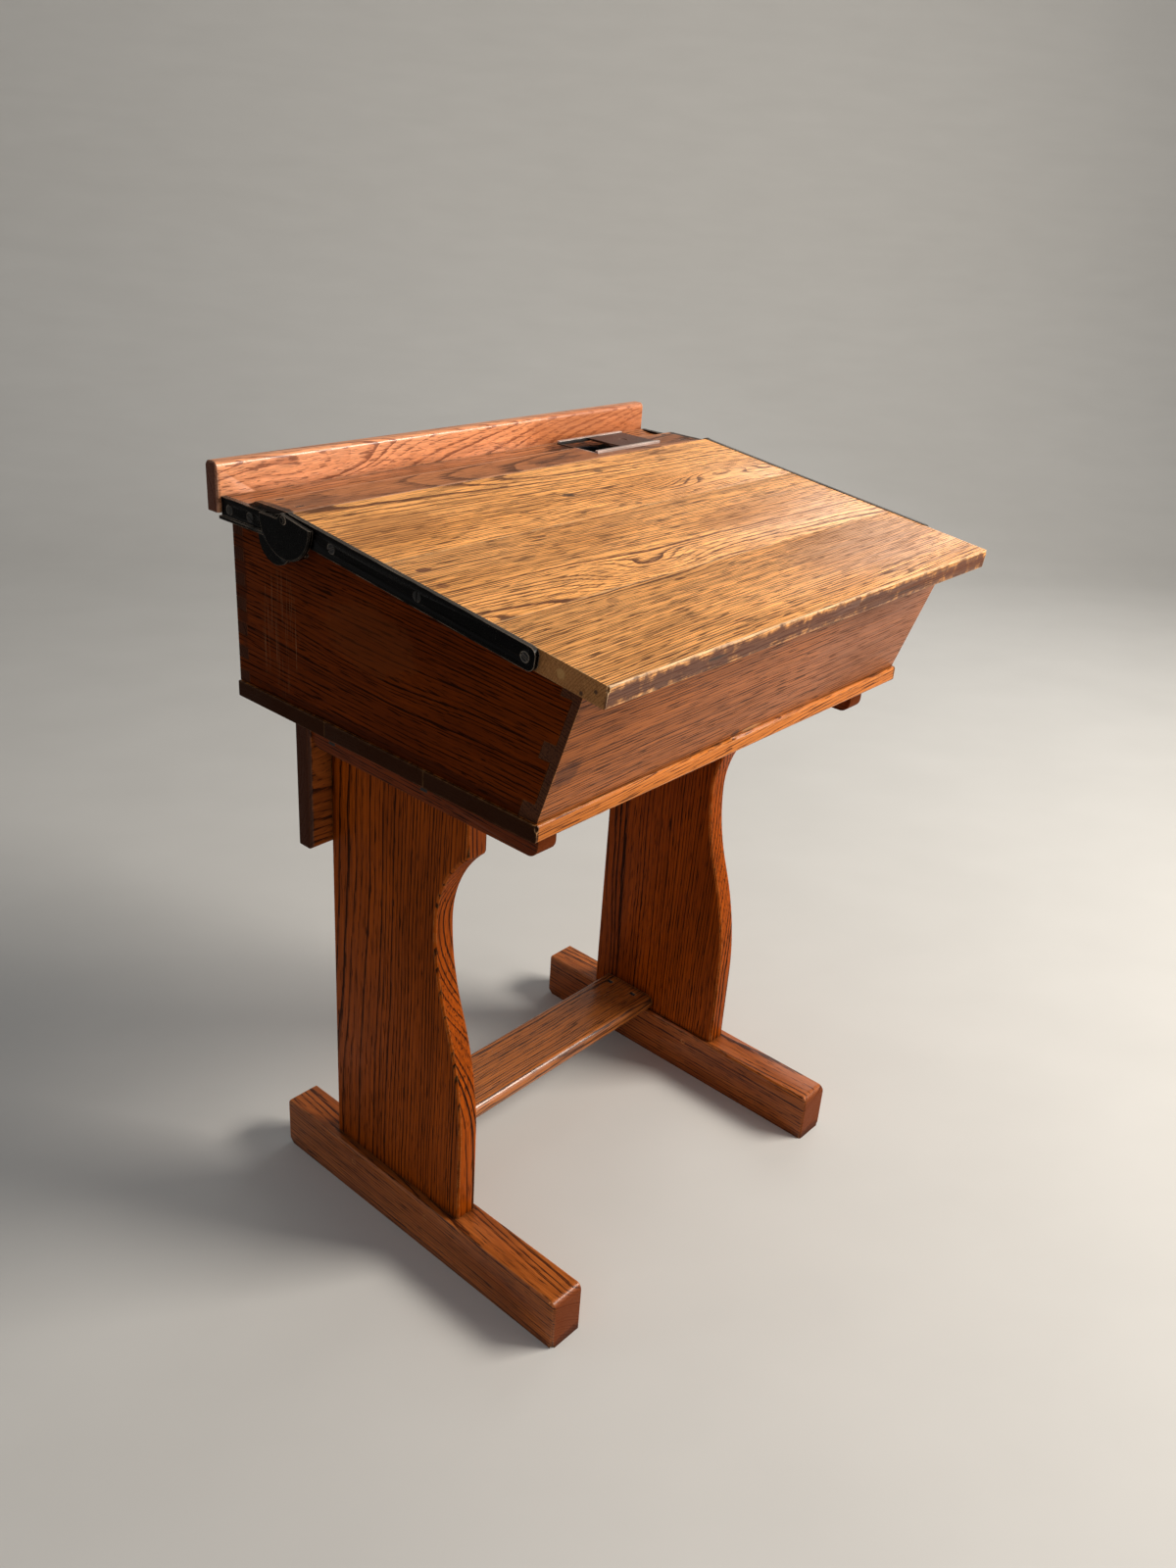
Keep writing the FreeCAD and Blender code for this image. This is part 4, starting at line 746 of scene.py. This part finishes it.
def dress_lid():
    """Three flat-sawn boards; each has its own pith, so the joints show."""
    # Ink blots, small knots, and places where the varnish has darkened or worn off.
    marks = {
        "rear": [
            (INK, 0.75, on_lid(-16, 68), at(7, 5, 9)),
            (INK, 0.6, on_lid(70, 29), at(6, 4, 9)),
            (INK, 0.5, on_lid(37, 113), at(4, 3, 9)),
            ("#9A6030", 0.35, on_lid(-235, 60), at(60, 30, 30)),
            ("#8A5428", 0.4, on_lid(190, 12), at(90, 7, 20)),
        ],
        "middle": [
            (KNOT, 0.8, on_lid(-270, 145), at(8, 4, 9)),
            (KNOT, 0.6, on_lid(-278, 176), at(6, 5, 9)),
            (INK, 0.35, on_lid(45, 164), at(5, 3, 9)),
            ("#A86C38", 0.4, on_lid(170, 190), at(110, 40, 40)),
        ],
        # The front edge: a rubbed line along the whole arris, dirt below it, and a crack at the left.
        "front": [
            (KNOT, 0.35, on_lid(-171, 262), at(7, 4, 9)),
            ("#9C6436", 0.45, on_lid(170, 290), at(120, 50, 40)),
            (RUBBED, 0.5, on_lid(0, 365.5, 0), at(3000, 2.2, 1.6)),
            (EDGE_DIRT, 0.95, on_lid(0, 370, -11.5), at(3000, 7, 12.8)),
            (INK, 0.8, on_lid(-161, 366, -9), at(14, 4, 1.4)),
            (INK, 0.5, on_lid(130, 366, -12), at(30, 4, 1.2)),
            (INK, 0.8, on_lid(-292, 354, -9), at(3, 2.2, 2.2)),
            (INK, 0.8, on_lid(-292, 341, -16), at(3, 2.0, 2.0)),
            ("#B88A50", 0.7, on_lid(-292, 319, -10), at(3, 4.5, 4.5)),
        ],
    }
    # Where each stem's pith lies from its board's middle, in metres, and how the two are tilted.
    piths = {"rear": (0.06, 0.066, -0.070), "middle": (-0.04, -0.060, -0.060),
             "front": (0.12, -0.120, -0.075)}
    tilts = {"rear": (0.02, 0.010), "middle": (-0.02, 0.012), "front": (0.015, -0.02)}
    # The flames close round these places.
    eyes = {
        "rear": (on_lid(215, 80), at(95, 16, 40), 17 * MM),
        "middle": (on_lid(-85, 226), at(75, 20, 40), 14 * MM),
        "front": (on_lid(-60, 262), at(140, 13, 40), 9 * MM),
    }
    # Only the front edge has been knocked: place, half sizes and turn of each chip.
    chips = {
        "rear": [],
        "middle": [],
        "front": [
            (on_lid(-157, 366, 0), at(6.5, 1.8, 2.0), 0.3),
            (on_lid(-150, 367, -10), at(9, 1.3, 5), 0.1),
            (on_lid(-26, 366, -1), at(4, 1.5, 2.2), 0.2),
            (on_lid(22, 366.2, -14), at(5, 1.4, 3), 0.0),
            (on_lid(51, 366, -9), at(3.5, 1.5, 3.5), 0.0),
            (on_lid(205, 366, 0), at(5, 1.2, 1.4), 0.0),
            (on_lid(-291, 365, -2), at(1.8, 2.4, 4), 0.4),
            (on_lid(291, 366, -1), at(2.2, 2.0, 3), 0.4),
            (on_lid(-240, 366, -18), at(12, 1.6, 1.6), 0.0),
            (on_lid(110, 366, -18), at(18, 1.4, 1.4), 0.0),
        ],
    }
    for name, pith in piths.items():
        node = "lid_board_" + name
        wood = oak(node + "_oak", LID_OAK, "across", middle_of(node) + Vector(pith), tilts[name],
                   LID_RING, eyes[name], marks[name])
        dress_board(node, wood, LID_ARRIS, chips[name])


def dress_shelf():
    """The fixed shelf: a pale ridge that is rubbed and a painted highlight, dirt and painted shade in
    the pen groove, and ink spilt round the pot.
    """
    pith = middle_of("top_shelf") + Vector((0.0, -0.03, -0.14))
    # A painted highlight along the groove's front ridge, also rubbed, then dirt and painted shade
    # inside the groove.
    marks = [("#E0A888", 0.75, at(-70, 176, 782), at(240, 1.8, 4)),
             ("#2A120A", 0.45, at(-60, 186, 782), at(260, 3.5, 6)),
             ("#8A5036", 0.5, at(175, 174, 782), at(66, 34, 8))]
    # The walls of the inkwell's hole are painted black, as old ink and as painted shade down the hole.
    marks += [("#050505", 0.97, at(149.5, 173, 768), at(46, 46, 14)),
              ("#060505", 0.97, at(149.5, 199, 772), at(60, 8, 8)),
              ("#060505", 0.97, at(173.5, 173, 772), at(8, 60, 8))]
    # Smears beside the lid.
    marks += [("#3A1E12", 0.5, at(-250, 150, 782), at(30, 14, 8)),
              ("#2A120A", 0.5, at(60, 150, 782), at(40, 10, 8))]
    # The shelf's ends are painted near black beside the iron plates.
    marks += [("#0C0806", 0.95, at(287.5 * sign, 150, 776), at(5, 40, 14)) for _, sign in SIDES]
    wood = oak("shelf_oak", SHELF_OAK, "across", pith, (0.03, 0.01), SHELF_RING, marks=marks)
    dress_board("top_shelf", wood, SHELF_ARRIS)


def dress_gallery():
    """The rail behind the shelf, grimy at its left end and painted darker at its right."""
    pith = middle_of("gallery_rail") + Vector((-0.1, 0.09, -0.03))
    flame = (at(-180, 220, 790), at(75, 20, 16), 9 * MM)
    marks = [("#3A170A", 0.6, at(-300, 229, 785), at(5, 12, 26)),
             ("#A85A2C", 0.55, at(210, 221, 785), at(120, 9, 40))]
    wood = oak("gallery_oak", GALLERY_OAK, "across", pith, (0.02, 0.09), GALLERY_RING, flame, marks)
    dress_board("gallery_rail", wood, GALLERY_ARRIS)


def dress_box():
    """Sides, front, back and bottom, darker towards their joints."""
    for name, sign in SIDES:
        node = "box_side_" + name
        pith = middle_of(node) + Vector((-0.07 * sign, 0.02, -0.13))
        face = SIDE_FACE * sign
        marks = [("#6A3414", 0.4, at(face, 40, 690), at(6, 60, 30)),
                 ("#2A1006", 0.6, at(face, 225, 700), at(6, 9, 70)),
                 ("#2A1006", 0.5, at(face, 20, 600), at(6, 200, 5))]
        flame = (at(face, 20, 660), at(20, 110, 26), 8 * MM)
        # Something has scraped the left side, near the back.
        lines = None
        if name == "left":
            fineness = (0.0, 1 / (0.8 * MM), 1 / (110 * MM))
            lines = ("#9A6A4A", at(face, 168, 662), at(6, 26, 58), fineness)
        wood = oak(node + "_oak", SIDE_OAK, "deep", pith, (0.05, 0.02), SIDE_RING, flame, marks, lines)
        dress_board(node, wood, BOX_ARRIS)
    pith = middle_of("box_front_board") + Vector((0.1, -0.10, 0.28))
    # A knock at the lower edge with pale wood beside it, dirt at the left, and a painted shadow along
    # the top under the lid.
    marks = [("#2A1008", 0.75, at(-13, -158, 598), at(8, 12, 5)),
             ("#E0A870", 0.55, at(14, -158, 596), at(16, 12, 2.5)),
             ("#3A180A", 0.55, at(-262, -175, 640), at(16, 14, 12)),
             ("#7A4018", 0.4, at(210, -180, 660), at(120, 60, 90)),
             # Painted shadow: a dark band along the front board's top, under the lid's overhang.
             ("#5A2C12", 0.5, at(0, -204, 722), at(290, 12, 6))]
    wood = oak("front_board_oak", FRONT_OAK, "across", pith, (0.02, 0.005), FRONT_RING, marks=marks)
    dress_board("box_front_board", wood, BOX_ARRIS)
    pith = middle_of("box_back_board") + Vector((0.0, -0.15, 0.03))
    flame = (at(60, 234, 680), at(140, 20, 26), 9 * MM)
    wood = oak("back_board_oak", BACK_OAK, "across", pith, (0.02, 0.08), BACK_RING, flame)
    dress_board("box_back_board", wood, BOX_ARRIS)
    chips = {
        "front": [
            (at(-14, -166, 594), at(7, 3, 2.5), 0.2),
            (at(36, -166, 594.5), at(12, 2, 1.6), 0.0),
            (at(-190, -166, 578), at(9, 2, 2), 0.0),
            (at(150, -166, 594), at(6, 1.4, 1.4), 0.0),
            (at(-280, -166, 592), at(2.5, 3, 4), 0.3),
        ],
        "middle": [],
        "rear": [],
    }
    marks = [("#2A1103", 0.95, at(280 * sign, 34, 586), at(3.2, 400, 14)) for _, sign in SIDES]
    for name, knocks in chips.items():
        node = "bottom_board_" + name
        pith = middle_of(node) + Vector((0.05, 0.02, -0.16))
        wood = oak(node + "_oak", BOTTOM_OAK, "across", pith, (0.05, 0.01), BOTTOM_RING, marks=marks)
        dress_board(node, wood, BOTTOM_ARRIS, knocks)


def dress_stand():
    """Legs, feet scuffed at their ends, bearers, stretcher, rear rail and pegs."""
    for name, sign in SIDES:
        node = "leg_" + name
        pith = middle_of(node) + Vector((-0.13 * sign, 0.125, 0.0))
        wood = oak(node + "_oak", LEG_OAK, "upright", pith, (0.015, 0.02), LEG_RING)
        dress_board(node, wood, PANEL_ARRIS)
        node = "foot_" + name
        pith = middle_of(node) + Vector((0.05 * sign, 0.0, -0.09))
        marks = [("#3A1606", 0.5, at(222 * sign, end, 4), at(26, 30, 7)) for end in (-190, 230)]
        wood = oak(node + "_oak", FOOT_OAK, "deep", pith, (0.03, 0.02), FOOT_RING, marks=marks)
        chips = [(at(205 * sign, -190, 60), at(2.5, 3, 2), 0.2),
                 (at(241 * sign, -189, 2), at(3, 4, 3), 0.1)]
        dress_board(node, wood, FOOT_ARRIS, chips)
        node = "bearer_" + name
        pith = middle_of(node) + Vector((0.04 * sign, 0.0, -0.10))
        wood = oak(node + "_oak", BEARER_OAK, "deep", pith, (0.03, 0.02), BEARER_RING)
        dress_board(node, wood, RAIL_ARRIS)
    pith = middle_of("floor_stretcher") + Vector((0.0, 0.11, -0.07))
    wood = oak("stretcher_oak", STRETCHER_OAK, "across", pith, (0.02, 0.005), STRETCHER_RING)
    dress_board("floor_stretcher", wood, RAIL_ARRIS)
    pith = middle_of("rear_rail") + Vector((0.1, 0.12, 0.03))
    flame = (at(-60, 177, 500), at(150, 20, 30), 14 * MM)
    marks = [("#2A1004", 0.85, at(258.5 * sign, 166, 505), at(4, 60, 150)) for _, sign in SIDES]
    wood = oak("rear_rail_oak", FOOT_OAK, "across", pith, (0.02, 0.07), FOOT_RING, flame, marks)
    dress_board("rear_rail", wood, PANEL_ARRIS)
    paint("foot_pegs", bpy.data.materials["foot_left_oak"])


SLOT_WIDTH = 1.3 * MM
SLOT_DEPTH = 0.9 * MM
# A slot's bar is a little longer than its head is wide; each screw stopped at its own turn.
SLOT_REACH = 1.3
FIRST_TURN = 0.5
NEXT_TURN = 1.1


def slot_shape(place, length, turn):
    """The bar that a screwdriver's slot leaves empty, across a head whose axis is X. It stands as
    far out of the head as it goes in."""
    shape = bmesh.new()
    bmesh.ops.create_cube(shape, size=1.0)
    bmesh.ops.scale(shape, vec=(SLOT_DEPTH * 2, length, SLOT_WIDTH), verts=shape.verts)
    mesh = bpy.data.meshes.new("slot")
    save_mesh(shape, mesh)
    piece = new_object("slot", mesh)
    piece.matrix_world = Matrix.Translation(place) @ Matrix.Rotation(turn, 4, "X")
    return piece


def dress_screws(node):
    """Screws with a slot across each outer head, each turned its own way."""
    piece = outer_copy(node)
    piece.data.materials.append(steel)
    bars = []
    for number, (low, high) in enumerate(islands(piece)):
        outer = low.x if low.x < 0 else high.x
        heart = (low + high) / 2
        length = (high.z - low.z) * SLOT_REACH
        bars.append(slot_shape((outer, heart.y, heart.z), length, FIRST_TURN + NEXT_TURN * number))
    cut_out(piece, bars)
    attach(piece, body_of(node))
    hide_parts(node)


def dress_ironwork():
    """The stop hinges with their arms, pins and screws, and the nails."""
    for name, _ in SIDES:
        for node in ("hinge_plate_" + name, "lid_arm_" + name):
            piece = outer_copy(node)
            ease_edges(piece, IRON_ARRIS)
            piece.data.materials.append(iron)
            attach(piece, body_of(node))
            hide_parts(node)
    paint("hinge_pins", iron)
    dress_screws("hinge_plate_screws")
    dress_screws("lid_arm_screws")
    for node in nodes:
        if node.endswith("_nails"):
            paint(node, nail_iron)


def dress_inkwell():
    """The frame with its rails, the sliding cover and the pot."""
    paint("inkwell_frame", rails)
    paint("inkwell_cover", bronze)
    paint("inkwell_pot", glaze)


# ---------------------------------------------------------------- room, light and camera


def lay_floor():
    """A pale floor that turns up into a pale wall behind, in one sweep."""
    material, tree = new_material("pale_studio_floor")
    speck = add(tree, "TexNoise", {"Scale": 90.0, "Detail": 3.0}).outputs["Fac"]
    tone = add(tree, "Mix", {0: speck, 6: colour("#C6C4C0"), 7: colour("#CECCC8")},
               data_type="RGBA").outputs[2]
    surface = add(tree, "BsdfPrincipled", {"Base Color": tone, "Roughness": 0.85})
    add(tree, "OutputMaterial", {"Surface": surface.outputs[0]})
    # Metres: how far the sweep reaches to the sides and the front, where its wall stands, the
    # radius of the bend between them, and the wall's height. The turn sets the wall across the view.
    half = 9.0
    back = 3.2
    bend = 0.9
    height = 4.0
    steps = 16
    turn = math.radians(-40)
    line = [(-half, 0.0), (back - bend, 0.0)]
    for step in range(1, steps + 1):
        angle = math.radians(90) * step / steps
        line.append((back - bend + bend * math.sin(angle), bend - bend * math.cos(angle)))
    line.append((back, height))
    verts = [(x, y, z) for y, z in line for x in (-half, half)]
    faces = [(2 * i, 2 * i + 1, 2 * i + 3, 2 * i + 2) for i in range(len(line) - 1)]
    mesh = bpy.data.meshes.new("floor_sweep")
    mesh.from_pydata(verts, [], faces)
    for face in mesh.polygons:
        face.use_smooth = True
    mesh.materials.append(material)
    floor = new_object("floor_sweep", mesh)
    floor.rotation_euler = (0.0, 0.0, turn)


def hang_lamp(name, place, aim, size, watts, tint="#FFFFFF"):
    """A rectangular soft light that faces a point."""
    lamp = bpy.data.lights.new(name, "AREA")
    lamp.shape = "RECTANGLE"
    lamp.size, lamp.size_y = size
    lamp.energy = watts
    lamp.color = colour(tint)[:3]
    holder = new_object(name, lamp)
    holder.location = place
    holder.rotation_euler = (Vector(aim) - Vector(place)).to_track_quat("-Z", "Y").to_euler()


def light_studio():
    """A window at the desk's front right, weaker lamps round it, and a pale room in reflections."""
    world = bpy.data.worlds.new("studio_air")
    bpy.context.scene.world = world
    world.use_nodes = True
    tree = world.node_tree
    tree.nodes.clear()
    sky = add(tree, "Background", {"Color": colour("#E8ECF0"), "Strength": 0.26})
    seen = add(tree, "Background", {"Color": colour("#D6D5D2"), "Strength": 1.0})
    rays = add(tree, "LightPath").outputs
    looking = add(tree, "Math", {0: rays["Is Camera Ray"], 1: rays["Is Glossy Ray"]},
                  operation="MAXIMUM").outputs[0]
    looking = add(tree, "Math", {0: looking, 1: rays["Is Transmission Ray"]},
                  operation="MAXIMUM").outputs[0]
    air = add(tree, "MixShader", {0: looking, 1: sky.outputs[0], 2: seen.outputs[0]})
    add(tree, "OutputWorld", {"Surface": air.outputs[0]})
    centre = (0.0, 0.0, 0.45)
    hang_lamp("window", (1.6, -1.75, 2.25), centre, (1.3, 1.0), 104.0, "#FFF8EE")
    hang_lamp("low_window", (0.9, -2.2, 0.8), centre, (1.2, 0.8), 12.0, "#FFF8EE")
    hang_lamp("bounce", (-2.2, -1.3, 1.5), centre, (1.8, 1.8), 4.0, "#F2F5FF")
    hang_lamp("pale_wall", (2.4, 0.5, 1.6), centre, (1.2, 1.0), 9.0)


# Where a standing person's eye is, which way it looks (from +Y towards +X, then down), and how far
# its picture is turned. The focal length is in pixels of a picture this high.
CAMERA_PLACE = Vector((-0.95984, -0.78738, 1.08303))
CAMERA_AZIMUTH = 0.8715228
CAMERA_DROP = 0.4531019
CAMERA_ROLL = 0.0721087
SENSOR = 36.0
FOCAL_PIXELS = 1345.73
PICTURE_HEIGHT = 1600
NEAREST_SEEN = 0.05


def set_camera():
    """A standing person's view of the desk from its front left."""
    ahead = Vector((math.sin(CAMERA_AZIMUTH) * math.cos(CAMERA_DROP),
                    math.cos(CAMERA_AZIMUTH) * math.cos(CAMERA_DROP), -math.sin(CAMERA_DROP)))
    level = Vector((ahead.y, -ahead.x, 0.0)).normalized()
    upright = level.cross(ahead)
    right = level * math.cos(CAMERA_ROLL) + upright * math.sin(CAMERA_ROLL)
    top = upright * math.cos(CAMERA_ROLL) - level * math.sin(CAMERA_ROLL)
    lens = bpy.data.cameras.new("eye")
    lens.sensor_width = SENSOR
    lens.lens = FOCAL_PIXELS * SENSOR / PICTURE_HEIGHT
    lens.clip_start = NEAREST_SEEN
    camera = new_object("eye", lens)
    turn = Matrix((right, top, -ahead)).transposed().to_4x4()
    camera.matrix_world = Matrix.Translation(CAMERA_PLACE) @ turn
    bpy.context.scene.camera = camera


dress_lid()
dress_shelf()
dress_gallery()
dress_box()
dress_stand()
dress_ironwork()
dress_inkwell()
lay_floor()
light_studio()
set_camera()
bpy.context.scene.view_settings.view_transform = "Standard"
